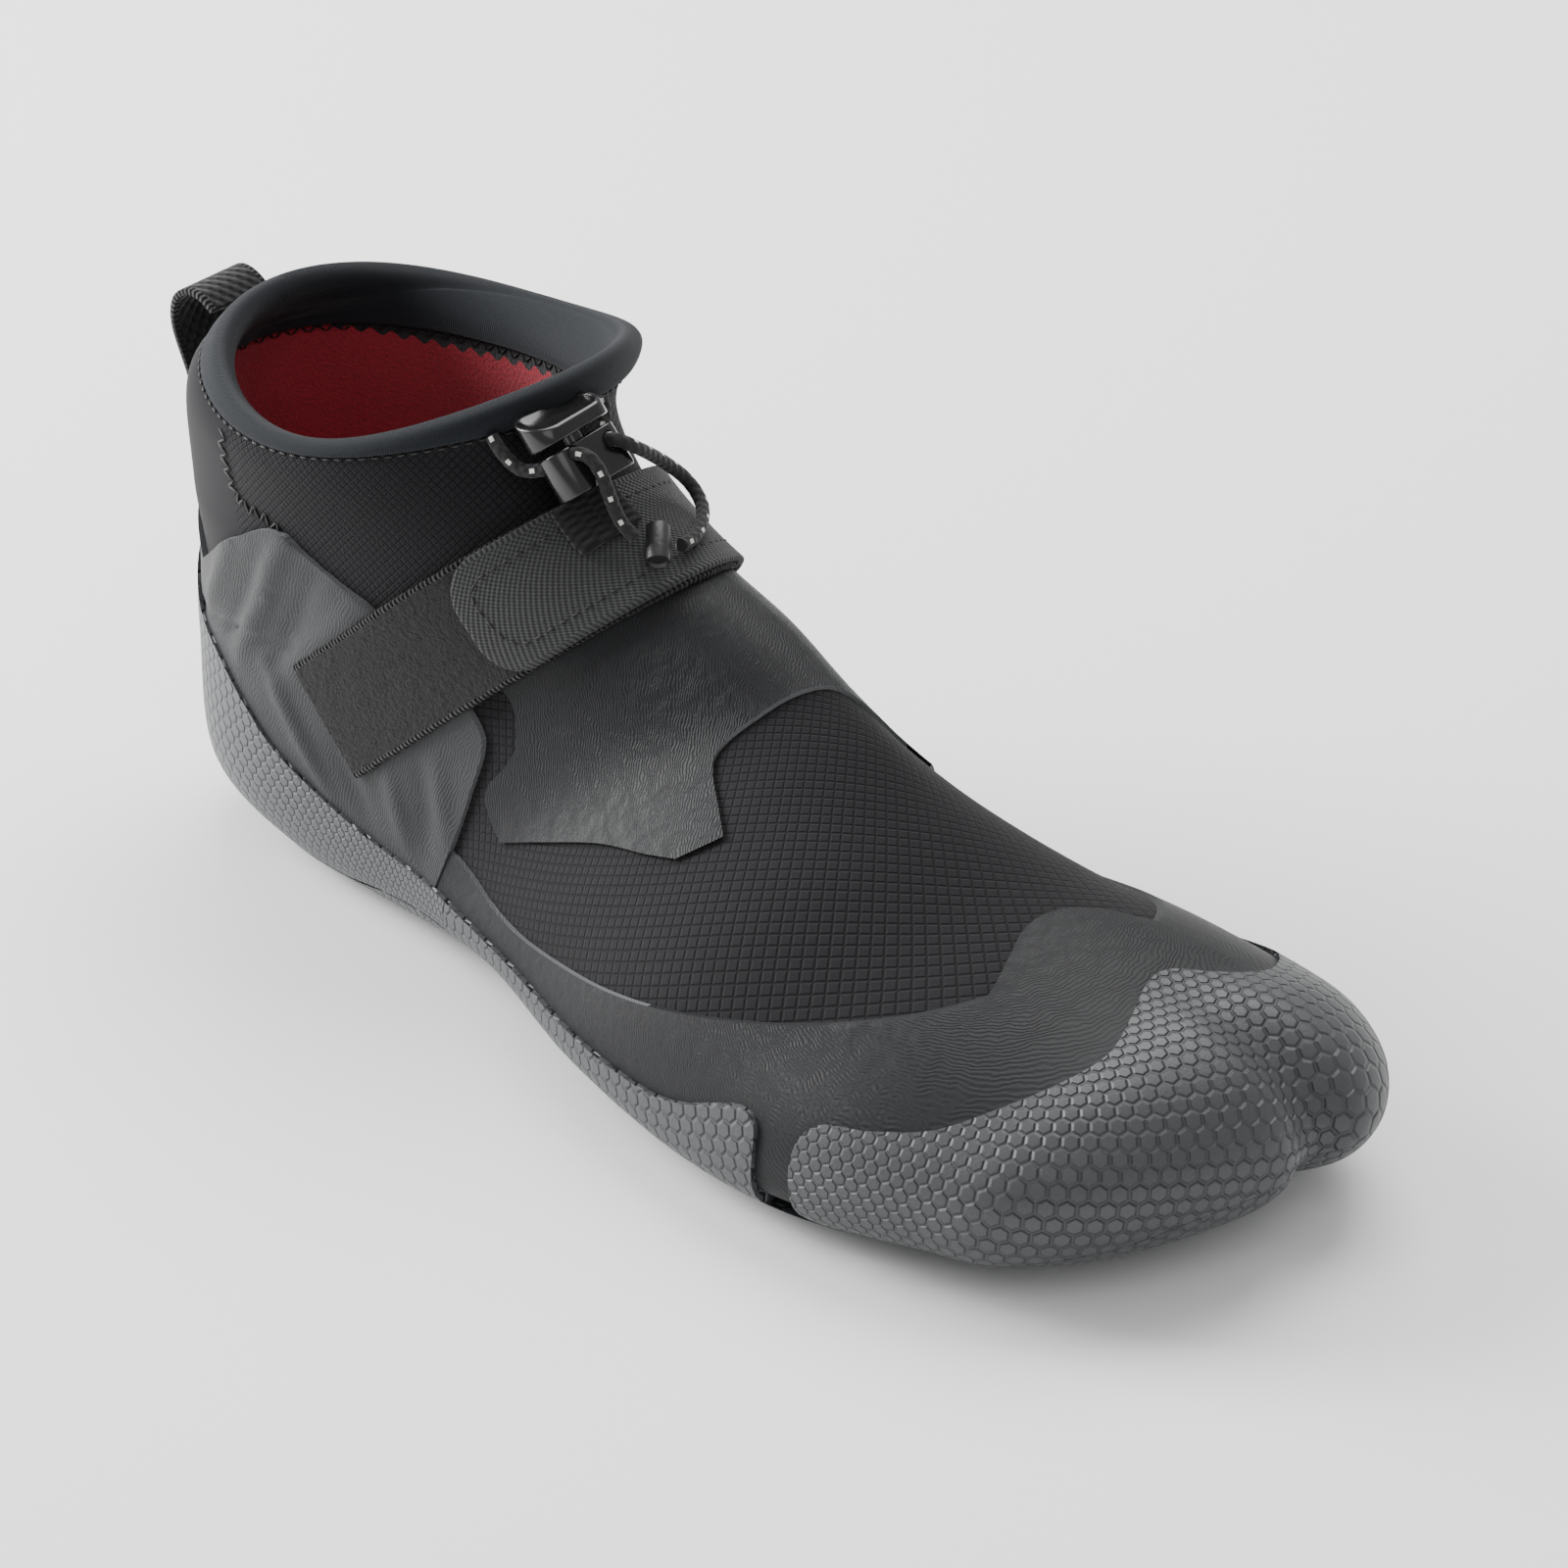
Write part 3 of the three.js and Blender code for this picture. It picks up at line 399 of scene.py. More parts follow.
# Uneven colour: soft clouds and fine specks round a base colour.
uneven, entry, leave = new_group(
    "uneven_colour",
    [("Surface", "Vector", None), ("Base", "Color", (0.5, 0.5, 0.5, 1)),
     ("Amount", "Float", 0.2), ("Fineness", "Float", 60.0)],
    [("Color", "Color")],
)
clouds = add_node(uneven, "TexNoise", entry["Surface"], None, 35.0, 4.0)
specks = add_node(uneven, "TexNoise", entry["Surface"], None, None, 2.0)
uneven.links.new(entry["Fineness"], specks.node.inputs["Scale"])
both = add_node(uneven, "Math", clouds, specks, operation="ADD")
shade = add_node(uneven, "Math", add_node(uneven, "Math", both, 1.0, operation="SUBTRACT"),
                 entry["Amount"], operation="MULTIPLY")
gain = add_node(uneven, "Math", shade, 1.0, operation="ADD")
scaled = add_node(uneven, "VectorMath", entry["Base"], None, None, gain, operation="SCALE")
uneven.links.new(scaled, leave["Color"])

# Raised diamonds of a stretch fabric: a lattice of two crossing slants.
diamonds, entry, leave = new_group(
    "raised_diamonds",
    [("Surface", "Vector", None), ("Across", "Float", 0.0022), ("Along", "Float", 0.0028)],
    [("Height", "Float")],
)
cell = add_node(diamonds, "CombineXYZ", entry["Across"], entry["Along"], 1.0)
place = add_node(diamonds, "VectorMath", entry["Surface"], cell, operation="DIVIDE")
apart = add_node(diamonds, "SeparateXYZ", place)
plus = add_node(diamonds, "Math", apart.node.outputs[0], apart.node.outputs[1], operation="ADD")
minus = add_node(diamonds, "Math", apart.node.outputs[0], apart.node.outputs[1],
                 operation="SUBTRACT")
waves = [add_node(diamonds, "Math", add_node(diamonds, "Math", add_node(
    diamonds, "Math", way, math.pi, operation="MULTIPLY"), operation="SINE"), operation="ABSOLUTE")
    for way in (plus, minus)]
dome = add_node(diamonds, "Math", *waves, operation="MINIMUM")
soft = add_node(diamonds, "MapRange", dome, 0.08, 0.55, interpolation_type="SMOOTHSTEP")
diamonds.links.new(soft, leave["Height"])


def fabric_node(tree, surface, colour, amount=0.35, fineness=1400.0):
    return place_group(tree, uneven, surface, (*colour, 1), amount, fineness)


def new_material(name, roughness, sheen=0.0, coat=0.0, metallic=0.0):
    material = bpy.data.materials.new(name)
    material.use_nodes = True
    tree = material.node_tree
    shader = tree.nodes["Principled BSDF"]
    shader.inputs["Roughness"].default_value = roughness
    shader.inputs["Sheen Weight"].default_value = sheen
    shader.inputs["Sheen Roughness"].default_value = 0.45
    shader.inputs["Coat Weight"].default_value = coat
    shader.inputs["Metallic"].default_value = metallic
    return material, tree, shader


def bump(tree, shader, height, distance, strength=1.0):
    node = tree.nodes.new("ShaderNodeBump")
    node.inputs["Strength"].default_value = strength
    node.inputs["Distance"].default_value = distance
    tree.links.new(height, node.inputs["Height"])
    tree.links.new(node.outputs[0], shader.inputs["Normal"])


def stretch_fabric(name, colour, across, along, height):
    material, tree, shader = new_material(name, 0.8, sheen=0.04)
    shader.inputs["Specular IOR Level"].default_value = 0.15
    surface = add_node(tree, "UVMap", uv_map="cloth")
    spread = add_node(tree, "SeparateXYZ", add_node(tree, "TexCoord", output=3))
    plain = add_node(tree, "MapRange", spread, 0.0002, 0.0018)
    raised = place_group(tree, diamonds, surface, across, along)
    raised = add_node(tree, "Mix", plain, None, 0.8, raised)
    cloth = fabric_node(tree, surface, colour)
    # Painted shade: the grooves between the raised diamonds are coloured darker than the cloth.
    shaded_grooves = mixed(tree, raised, (*[c * 0.45 for c in colour], 1), cloth)
    tree.links.new(shaded_grooves, shader.inputs["Base Color"])
    threads = add_node(tree, "TexNoise", surface, None, 2600.0, 2.0)
    rough = add_node(tree, "Math", threads, 0.25, operation="MULTIPLY")
    bump(tree, shader, add_node(tree, "Math", raised, rough, operation="ADD"), height)
    return material


mesh_cloth = stretch_fabric("stretch_diamond", (0.009, 0.009, 0.0105), 0.0023, 0.0023, 0.00016)
LINING_TOP = 0.0097
lining, tree, shader = new_material("red_plush_lining", 0.9, sheen=0.15)
surface = add_node(tree, "TexCoord", output=2)
apart = add_node(tree, "SeparateXYZ", surface)
wavy = add_node(tree, "Math", add_node(tree, "Math", apart.node.outputs[0], 1400.0,
                                       operation="MULTIPLY"),
                operation="SINE")
edge = add_node(tree, "Math", wavy, 0.0006, operation="MULTIPLY")
depth = add_node(tree, "Math", apart.node.outputs[1], edge, operation="ADD")
below_band = add_node(tree, "Math", depth, LINING_TOP, operation="GREATER_THAN")
plush = fabric_node(tree, surface, (0.27, 0.013, 0.026), 0.5, 900.0)
knit = fabric_node(tree, surface, (0.012, 0.013, 0.015))
tree.links.new(mixed(tree, below_band, knit, plush), shader.inputs["Base Color"])
rows_of_loops = add_node(tree, "TexNoise", surface, None, 1500.0, 3.0)
bump(tree, shader, rows_of_loops, 0.0005)



def pick_faces(piece, chosen):
    """Opens the piece for editing, with the chosen faces selected."""
    edit(piece, "FACE")
    bpy.ops.mesh.select_all(action="DESELECT")
    bpy.ops.object.mode_set(mode="OBJECT")
    for face in piece.data.polygons:
        face.select = chosen(face)
    bpy.ops.object.mode_set(mode="EDIT")


def sole_opening(face):
    """Whether a face lies inside the opening that the sole closes."""
    x, y, z = face.center / MM
    middle = -9 if x > 60 else -3
    half = 28 if x > 110 else 8 + 0.2 * max(x - 40, 0)
    return z < 12 and face.normal.z < -0.6 and -12 < x < 205 and abs(y - middle) < half


UNDER_ROLL = 0.28
upper = sock("upper_neoprene", 0, start=UNDER_ROLL, closed=False, under_rubber=True)
pick_faces(upper, sole_opening)
bpy.ops.mesh.delete(type="FACE")
bpy.ops.object.mode_set(mode="OBJECT")
upper.data.materials.append(mesh_cloth)
upper.data.materials.append(lining)
use(upper, "SOLIDIFY", thickness=NEOPRENE * MM, offset=-1, material_offset=1)
smooth_faces(upper)
upper.data.uv_layers.new(name="cloth")
upper.data.uv_layers["cloth"].active = True
STRAP_MIDDLE = (52, 67.7)
STRAP_TILT = math.radians(41)


def over_strap(place):
    return place.z / MM - STRAP_MIDDLE[1] > (place.x / MM - STRAP_MIDDLE[0]) * math.tan(STRAP_TILT)


def cloth_parts(one, other):
    """Whether two faces lie across the strap's line, or across the back and bottom seam."""
    a, b = one.calc_center_median(), other.calc_center_median()
    behind = one.normal.x < -0.6 or one.normal.z < -0.6
    return over_strap(a) != over_strap(b) or (behind and (a.y + 0.004 > 0) != (b.y + 0.004 > 0))


def straighten(piece, layer, faces, axis):
    """Turns the cloth of some faces so that the world's axis runs up in it."""
    uv = np.empty(len(piece.data.loops) * 2)
    layer.data.foreach_get("uv", uv)
    uv = uv.reshape(-1, 2)
    facing = {0: lambda n: n.z > 0.5, 2: lambda n: n.y < -0.5}[axis]
    flat = [f for f in faces if facing(f.normal)]
    world = np.array([[*f.center, 1] for f in flat])
    cloth = np.array([uv[f.loop_start:f.loop_start + f.loop_total].mean(axis=0) for f in flat])
    way = np.linalg.lstsq(world, cloth, rcond=None)[0][axis]
    c, s = way[1] / np.hypot(*way), way[0] / np.hypot(*way)
    loops = np.concatenate([np.arange(f.loop_start, f.loop_start + f.loop_total) for f in faces])
    uv[loops] = uv[loops] @ np.array([[c, s], [-s, c]])
    layer.data.foreach_set("uv", uv.ravel())


unwrap(upper, cloth_parts)
cloth_layer = upper.data.uv_layers["cloth"]
outside = [f for f in upper.data.polygons if f.material_index == 0]
straighten(upper, cloth_layer, [f for f in outside if over_strap(f.center)], 2)
straighten(upper, cloth_layer, [f for f in outside if not over_strap(f.center)], 0)
upper.data.uv_layers["UVMap"].active = True
upper.data.uv_layers["UVMap"].active_render = True
keep(upper, "neoprene", "upper")

# ---- Collar binding ----------------------------------------------------------------------------
# A strip of dark blue-black knit, folded over the collar's raw edge and sewn through.  Outside
# it shows as a fat roll, inside it runs further down to a row of zigzag stitches.
BINDING_EDGE = [
    (2.2, -3.3), (2.7, -1.4), (2.55, 1.1), (1.7, 2.6), (0, 3.2), (-1.7, 2.6), (-2.75, 1.1),
    (-3.2, -1.5),
    (-3.4, -5), (-3.2, -9.8), (-2.7, -10.7), (-1.6, -10), (-1.2, -4), (1.2, -3.4),
]
ROW_DROP = 10.4


def rim(out, up, a):
    """Points beside the collar's top edge: so far out, and so far up, or down along the wall."""
    u = np.maximum(-up, 0) / ROW_DROP
    top = outer_form(np.full_like(a, -0.1), a) - outer_form(np.full_like(a, 0.1), a)
    top /= np.linalg.norm(top, axis=1)[:, None]
    middle = on_last(u, a, NEOPRENE / 2)
    return middle + out_of(u, a) * out[:, None] + top * np.maximum(up, 0)[:, None]


def ring_sweep(name, profile, around=220):
    """Sweeps a closed profile of (out, up) points round the collar."""
    deselect()
    bpy.ops.mesh.primitive_grid_add(x_subdivisions=around, y_subdivisions=len(profile), size=1)
    piece = bpy.context.object
    piece.name = name
    grid = np.empty(len(piece.data.vertices) * 3)
    piece.data.vertices.foreach_get("co", grid)
    grid = grid.reshape(-1, 3)
    a = (grid[:, 0] + 0.5) * 2 * math.pi
    k = np.rint((grid[:, 1] + 0.5) * len(profile)).astype(int) % len(profile)
    chosen = np.array(profile)[k]
    points = rim(chosen[:, 0], chosen[:, 1], a)
    shape = points.reshape(len(profile) + 1, around + 1, 3)
    uv = np.stack([arc_length(shape, 1).ravel(), arc_length(shape, 0).ravel()], axis=1) * MM
    piece.data.vertices.foreach_set("co", (points * MM).ravel())
    corner = np.empty(len(piece.data.loops), int)
    piece.data.loops.foreach_get("vertex_index", corner)
    piece.data.uv_layers.active.data.foreach_set("uv", uv[corner].ravel())
    piece.data.update()
    edit(piece)
    bpy.ops.mesh.remove_doubles(threshold=1e-5)
    bpy.ops.mesh.normals_make_consistent(inside=False)
    bpy.ops.object.mode_set(mode="OBJECT")
    smooth_faces(piece, 60)
    return piece


profile = [(p.x, p.z) for p in curved([(out, 0, up) for out, up in BINDING_EDGE], steps=3)]
binding = ring_sweep("collar_binding_roll", profile)
knit_cloth, tree, shader = new_material("binding_knit", 0.85, sheen=0.08)
shader.inputs["Specular IOR Level"].default_value = 0.2
surface = add_node(tree, "TexCoord", output=2)
tree.links.new(fabric_node(tree, surface, (0.0085, 0.0105, 0.0135), 0.4),
               shader.inputs["Base Color"])
ribs = add_node(tree, "TexWave", surface, 700.0, 1.5, 2.0, wave_type="BANDS", bands_direction="X")
bump(tree, shader, ribs, 0.0002, 0.6)
keep(binding, "knit_binding", "collar_binding", material=knit_cloth)

# ---- Sole, toe cap and heel cup ----------------------------------------------------------------
# Grey rubber moulded with small raised hexagons.  The sole turns up as a side strip before the
# toes; the cap goes over both lobes of the split toe and the cup round the heel.
hexagons, entry, leave = new_group(
    "moulded_hexagons",
    [("Surface", "Vector", None), ("Cell", "Float", 0.0034)],
    [("Height", "Float")],
)
tall_cell = add_node(hexagons, "Math", entry["Cell"], math.sqrt(3), operation="MULTIPLY")
cell = add_node(hexagons, "CombineXYZ", entry["Cell"], tall_cell, 1.0)
place = add_node(hexagons, "VectorMath", entry["Surface"], cell, operation="DIVIDE")
offsets = []
for shift in (0.0, 0.5):
    moved = add_node(hexagons, "VectorMath", place, (shift, shift, 0), operation="ADD")
    part = add_node(hexagons, "VectorMath", moved, operation="FRACTION")
    middle = add_node(hexagons, "VectorMath", part, (0.5, 0.5, 0), operation="SUBTRACT")
    true = add_node(hexagons, "VectorMath", middle, (1, math.sqrt(3), 0), operation="MULTIPLY")
    offsets.append((true, add_node(hexagons, "VectorMath", true, true, operation="DOT_PRODUCT",
                                   output=1)))
(a, aa), (b, bb) = offsets
between = add_node(hexagons, "Math", add_node(hexagons, "Math", aa, bb, operation="SUBTRACT"),
                   operation="ABSOLUTE")
slant = add_node(hexagons, "Math", between, 0.5, operation="MULTIPLY")
nearer = add_node(hexagons, "Math", aa, bb, operation="LESS_THAN")
ax, bx = (add_node(hexagons, "Math", add_node(hexagons, "SeparateXYZ", v), operation="ABSOLUTE")
          for v in (a, b))
chosen = add_node(hexagons, "Mix", nearer, None, bx, ax)
side = add_node(hexagons, "Math", 0.5, chosen, operation="SUBTRACT")
rim_distance = add_node(hexagons, "Math", slant, side, operation="MINIMUM")
plateau = add_node(hexagons, "MapRange", rim_distance, 0.01, 0.17, interpolation_type="SMOOTHSTEP")
hexagons.links.new(plateau, leave["Height"])

# Fine leather-like grain of pressed rubber film: short wavy lines.
grain, entry, leave = new_group(
    "wavy_grain", [("Surface", "Vector", None), ("Lines", "Float", 400.0)], [("Height", "Float")])
lines = add_node(grain, "TexWave", entry["Surface"], None, 14.0, 2.0, 0.35,
                 bands_direction="DIAGONAL")
grain.links.new(entry["Lines"], lines.node.inputs["Scale"])
fine = add_node(grain, "TexNoise", entry["Surface"], None, 1900.0, 2.0)
grain.links.new(add_node(grain, "Math", lines.node.outputs["Fac"], fine, operation="ADD"),
                leave["Height"])


def hexagon_rubber(name, colour, roughness=0.45):
    material, tree, shader = new_material(name, roughness)
    shader.inputs["Specular IOR Level"].default_value = 0.42
    surface = add_node(tree, "TexCoord", output=2)
    raised = place_group(tree, hexagons, surface, 0.0034)
    shade = place_group(tree, uneven, surface, (*colour, 1), 0.25, 1500.0)
    # Painted shade: the grooves between the raised hexagons are coloured darker than the rubber.
    shaded_grooves = mixed(tree, raised, (*[c * 0.78 for c in colour], 1), shade)
    tree.links.new(shaded_grooves, shader.inputs["Base Color"])
    fine = add_node(tree, "TexNoise", surface, None, 1800.0, 2.0)
    rough = add_node(tree, "Math", fine, 0.12, operation="MULTIPLY")
    bump(tree, shader, add_node(tree, "Math", raised, rough, operation="ADD"), 0.00055)
    return material


sole_rubber = hexagon_rubber("hexagon_rubber_sole", (0.046, 0.049, 0.052))
cap_rubber = hexagon_rubber("hexagon_rubber_cap", (0.046, 0.0485, 0.051))
cup_rubber = hexagon_rubber("hexagon_rubber_cup", (0.066, 0.07, 0.074))

OUTER_SOLE_EDGE = curved(
    [(-50, 6), (0, 6), (22, 6), (36, 9), (50, 11), (57.5, 11.2), (58, 17.5), (90, 17.5),
     (130, 17.5),
     (143, 19.5), (152, 23), (159, 24.8), (163, 22), (163, 12), (163, 6), (185, 6.5), (205, 8.5),
     (225, 13.5), (240, 19), (280, 19), (280, -20), (-50, -20)],
    sharp={0, 5, 6, 14, 19, 20, 21})
INNER_SOLE_EDGE = curved(
    [(-50, 6), (22, 6), (50, 10), (75, 12), (100, 10), (125, 6.5), (163, 6), (185, 6.5),
     (205, 8.5),
     (225, 13.5), (240, 19), (280, 19), (280, -20), (-50, -20)], sharp={0, 6, 11, 12, 13})

rubber_form = sock("rubber_form", 0)
inside_rubber = sock("inside_rubber", -0.15, start=-0.2, under_rubber=True, around=120, along=160)


def rubber_shell(name, form, inner, *knives):
    """What the knives leave of the layer between two forms."""
    piece = form.copy()
    piece.data = form.data.copy()
    piece.name = name
    bpy.context.collection.objects.link(piece)
    for operation, tool in knives:
        cut(piece, operation, tool)
    cut(piece, "DIFFERENCE", inner, keep_tool=True)
    edit(piece)
    bpy.ops.mesh.remove_doubles(threshold=2e-5)
    bpy.ops.object.mode_set(mode="OBJECT")
    smooth_faces(piece)
    return piece


outsole = rubber_shell("outsole_rubber", rubber_form, inside_rubber, (
    "INTERSECT", joined_knife(knife(OUTER_SOLE_EDGE, -1), knife(INNER_SOLE_EDGE, 1))))
unwrap(outsole)
keep(outsole, "sole_rubber", "outsole", material=sole_rubber)

CAP_EDGE = curved(
    [(172, -90), (172, -63), (173.2, -60.6), (177, -58.4), (186, -56), (197, -50.5), (205, -41),
     (210, -31),
     (211.2, -22), (207.5, -12.5), (202.6, -3), (202, 3.5), (206, 10), (209, 17), (208, 25),
     (198, 36.5),
     (184, 40.5), (173, 41.5), (168, 43.5), (167, 48), (167, 90), (300, 90), (300, -90)],
    sharp={0, 1, 19, 20, 21, 22})
above_sole = knife(curved(
    [(-50, 6.08), (163, 6.08), (185, 6.58), (205, 8.58), (225, 13.58), (240, 19.08), (280, 19.08),
     (280, 200),
     (-50, 200)], sharp={0, 1, 6, 7, 8}), 2)
toe_cap = rubber_shell("toe_cap_rubber", rubber_form, inside_rubber,
                       ("INTERSECT", knife(CAP_EDGE, 0)), ("INTERSECT", above_sole))
unwrap(toe_cap)
keep(toe_cap, "cap_rubber", "toe_cap", material=cap_rubber)

OUTER_CUP_EDGE = curved(
    [(-50, 59), (-34, 57.5), (-21.5, 48), (-10, 42.5), (0, 36), (9, 29.5), (24.7, 22.5), (40, 19),
     (57.6, 17.6), (57.6, 11.5), (50, 11.3), (36, 9.3), (22, 6.3), (-50, 6.3)],
     sharp={0, 8, 9, 12, 13})
INNER_CUP_EDGE = curved(
    [(-50, 60), (-30, 60.5), (-17.2, 57.5), (-4.9, 50.6), (11.1, 40.4), (30, 32.5), (38, 28),
     (47, 20),
     (52, 10.5), (22, 6.3), (-50, 6.3)], sharp={0, 8, 9, 10})
heel_cup = rubber_shell("heel_cup_rubber", rubber_form, inside_rubber, (
    "INTERSECT", joined_knife(knife(OUTER_CUP_EDGE, -1), knife(INNER_CUP_EDGE, 1))))
unwrap(heel_cup)
keep(heel_cup, "cup_rubber", "heel_cup", material=cup_rubber)

# ---- Smooth rubber film: rand, instep panel and quarters ---------------------------------------
# Thin dark rubber film, glued over the neoprene where it rubs.  The rand runs round the vamp,
# the instep panel lies under the strap, and the quarters wrap the heel, puckered at the strap.
FILM = 0.8


def film_rubber(name, colour, lines=760.0):
    material, tree, shader = new_material(name, 0.5)
    shader.inputs["Specular IOR Level"].default_value = 0.15
    surface = add_node(tree, "TexCoord", output=2)
    tree.links.new(place_group(tree, uneven, surface, (*colour, 1), 0.22, 1200.0),
                   shader.inputs["Base Color"])
    bump(tree, shader, place_group(tree, grain, surface, lines), 0.00008, 0.7)
    return material


rand_film = film_rubber("film_rand", (0.0145, 0.015, 0.016))
quarter_film = film_rubber("film_quarter", (0.034, 0.035, 0.0365))
film_form = sock("film_form", -FILM, under_rubber=True)
film_inside = sock("film_inside", 0.6, start=-0.2, under_rubber=True, around=120, along=160)

FRONT_OF_VAMP = curved(
    [(0, -120), (186, -120), (186.3, -33), (185.4, -25), (181.5, -16), (178, -8), (178, 1),
     (182, 8.5),
     (187.5, 14), (189.5, 20), (186.5, 27), (183, 34), (183, 120), (0, 120)],
    sharp={0, 1, 2, 11, 12, 13})
OUTER_VAMP_EDGE = curved(
    [(20, 30), (50, 27), (56.5, 26.2), (63.5, 24.6), (72.6, 23.2), (87.4, 23.4), (106.8, 26.5),
     (125.3, 30.2),
     (140.4, 33.4), (156.5, 36.7), (170.1, 39.9), (180.4, 42.7), (192, 46.5), (192, 150),
     (20, 150)],
    sharp={0, 12, 13, 14})
INNER_VAMP_EDGE = curved(
    [(20, 36), (70, 34.5), (82, 34.5), (96, 34.3), (120, 31.5), (143.3, 32.6), (160, 34.8),
     (175, 38.5),
     (192, 45.5), (192, 150), (20, 150)], sharp={0, 8, 9, 10})
vamp_window = joined_knife(knife(OUTER_VAMP_EDGE, -1), knife(INNER_VAMP_EDGE, 1))
cut(vamp_window, "INTERSECT", knife(FRONT_OF_VAMP, 0))
forefoot = knife([(52, 2), (260, 2), (260, 90), (52, 90)], 2)
rand = rubber_shell("rand_film", film_form, film_inside,
                    ("INTERSECT", forefoot), ("DIFFERENCE", vamp_window))
unwrap(rand)
keep(rand, "sole_rubber", material=rand_film)

OUTER_INSTEP_EDGE = curved(
    [(56, 71), (60.5, 63), (65.9, 57.8), (68, 51), (66.6, 46.5), (63.2, 41.5), (64.2, 37.4),
     (69.5, 33.4),
     (82.2, 38.6), (97.1, 44.3), (110.2, 47.6), (117.3, 49.3), (126, 55.8), (150, 90),
     (150, 152)], sharp={0, 7, 11, 12, 13, 14})
INNER_INSTEP_EDGE = curved(
    [(56, 71), (79, 64), (81.5, 60), (84, 52), (86.7, 46.5), (90, 42.5), (99, 38.6), (112, 39),
     (123, 42.5),
     (129.5, 52), (150, 90), (150, 152)],
    sharp={0, 6, 8, 9, 10, 11})
FRONT_OF_INSTEP = curved(
    [(20, -120), (150, -120), (150, -36), (125.8, -32), (118.5, -26.5), (112.6, -22),
     (110.6, -18.2),
     (113.6, -10.2), (115.8, -1.7), (117.5, 4.8), (120.5, 9.2), (127.5, 16.5), (150, 22),
     (150, 120),
     (20, 120)], sharp={0, 1, 2, 3, 12, 13, 14})
instep_block = joined_knife(knife(OUTER_INSTEP_EDGE, -1), knife(INNER_INSTEP_EDGE, 1))
cut(instep_block, "INTERSECT", knife(FRONT_OF_INSTEP, 0))
instep = rubber_shell("instep_film", film_form, film_inside, ("INTERSECT", instep_block))
unwrap(instep)
keep(instep, "sole_rubber", material=film_rubber("film_instep", (0.0105, 0.011, 0.012)))

OUTER_QUARTER_EDGE = curved(
    [(-50, 70), (-33, 66), (-19.6, 58.3), (-1.4, 71.8), (9.5, 78.4), (15, 79.2), (19, 77.6),
     (36.5, 69.2),
     (49, 61), (58.6, 52.6), (60.8, 47.5), (59.2, 38.6), (57.4, 31), (53, 18), (40, 7), (-50, 7)],
    sharp={0, 2, 13, 14, 15})
INNER_QUARTER_EDGE = curved(
    [(-50, 72), (-33, 70.5), (-20, 64.5), (-5, 57.6), (8, 70.8), (20, 80.5), (31, 86.2),
     (38, 86.4),
     (46, 82), (60, 75), (76, 66), (80, 60), (78.5, 50), (74.9, 41.7), (71, 35.5), (67, 27),
     (60, 14),
     (50, 7), (-50, 7)], sharp={0, 3, 17, 18})
quarter_form = sock("quarter_form", -FILM - 0.3, under_rubber=True)
quarters = rubber_shell("quarter_film", quarter_form, film_inside, (
    "INTERSECT", joined_knife(knife(OUTER_QUARTER_EDGE, -1), knife(INNER_QUARTER_EDGE, 1))))
unwrap(quarters)


def pucker(piece, side, folds):
    """Raises soft folds: each from one place to another in the side view, so wide and so high."""
    mesh = piece.data
    mesh.update()
    for vertex in mesh.vertices:
        x, y, z = vertex.co / MM
        if y * side < 6:
            continue
        push = 0.0
        for (x0, z0), (x1, z1), wide, high in folds:
            run = Vector((x1 - x0, z1 - z0))
            t = max(0.0, min(1.0, Vector((x - x0, z - z0)).dot(run) / run.length_squared))
            aside = math.hypot(x - x0 - t * run.x, z - z0 - t * run.y) / wide
            push += high * math.exp(-aside * aside) * math.sin(math.pi * (0.08 + 0.84 * t)) ** 0.7
        if push:
            vertex.co += vertex.normal * push * MM


pucker(quarters, -1, [
    ((-16, 50), (-2, 70), 2.6, 1.5), ((-8, 48), (9, 74), 1.8, -0.8),
    ((-3, 46), (16, 78), 2.6, 1.7),
    ((6, 45), (24, 74), 2, -0.8), ((14, 50), (34, 70), 2.8, 1.2), ((6, 47), (22, 26), 2.2, 1.4),
    ((24, 36), (34, 22), 2, -0.7), ((38, 36), (44, 22), 2.4, 1.2), ((46, 40), (50, 24), 1.8, -0.7),
    ((50, 42), (55, 27), 2.2, 0.9), ((-24, 47.5), (15, 54), 0.9, -0.9)])
keep(quarters, "cup_rubber", material=quarter_film)
# Painted highlight: the side faces along each film's edges get a light grey copy of the dark film.
painted_edge_highlight = film_rubber("film_edge_painted_highlight", (0.11, 0.112, 0.115))
film_tree = BVHTree.FromObject(film_form, bpy.context.evaluated_depsgraph_get())
for film in (rand, instep, quarters):
    film.data.materials.append(painted_edge_highlight)
    for face in film.data.polygons:
        if abs(film_tree.find_nearest(face.center)[1].dot(face.normal)) < 0.5:
            face.material_index = 1
for form in (film_form, quarter_form, film_inside, rubber_form, inside_rubber):
    bpy.data.objects.remove(form)

# ---- Insole ------------------------------------------------------------------------------------
# A thin foam footbed, faced with the same red plush as the lining, dropped in over the turned-in
# edges of the neoprene.
FOOTBED = 3
WING = 0.95
footbed = sock("insole_footbed", 3.4, start=5, closed=False, around=60, along=140,
               under_rubber=True,
               spread=WING, end=15.2)
use(footbed, "SOLIDIFY", thickness=FOOTBED * MM, offset=-1)
smooth_faces(footbed, 50)
keep(footbed, "sock_lining", "insole", material=lining)

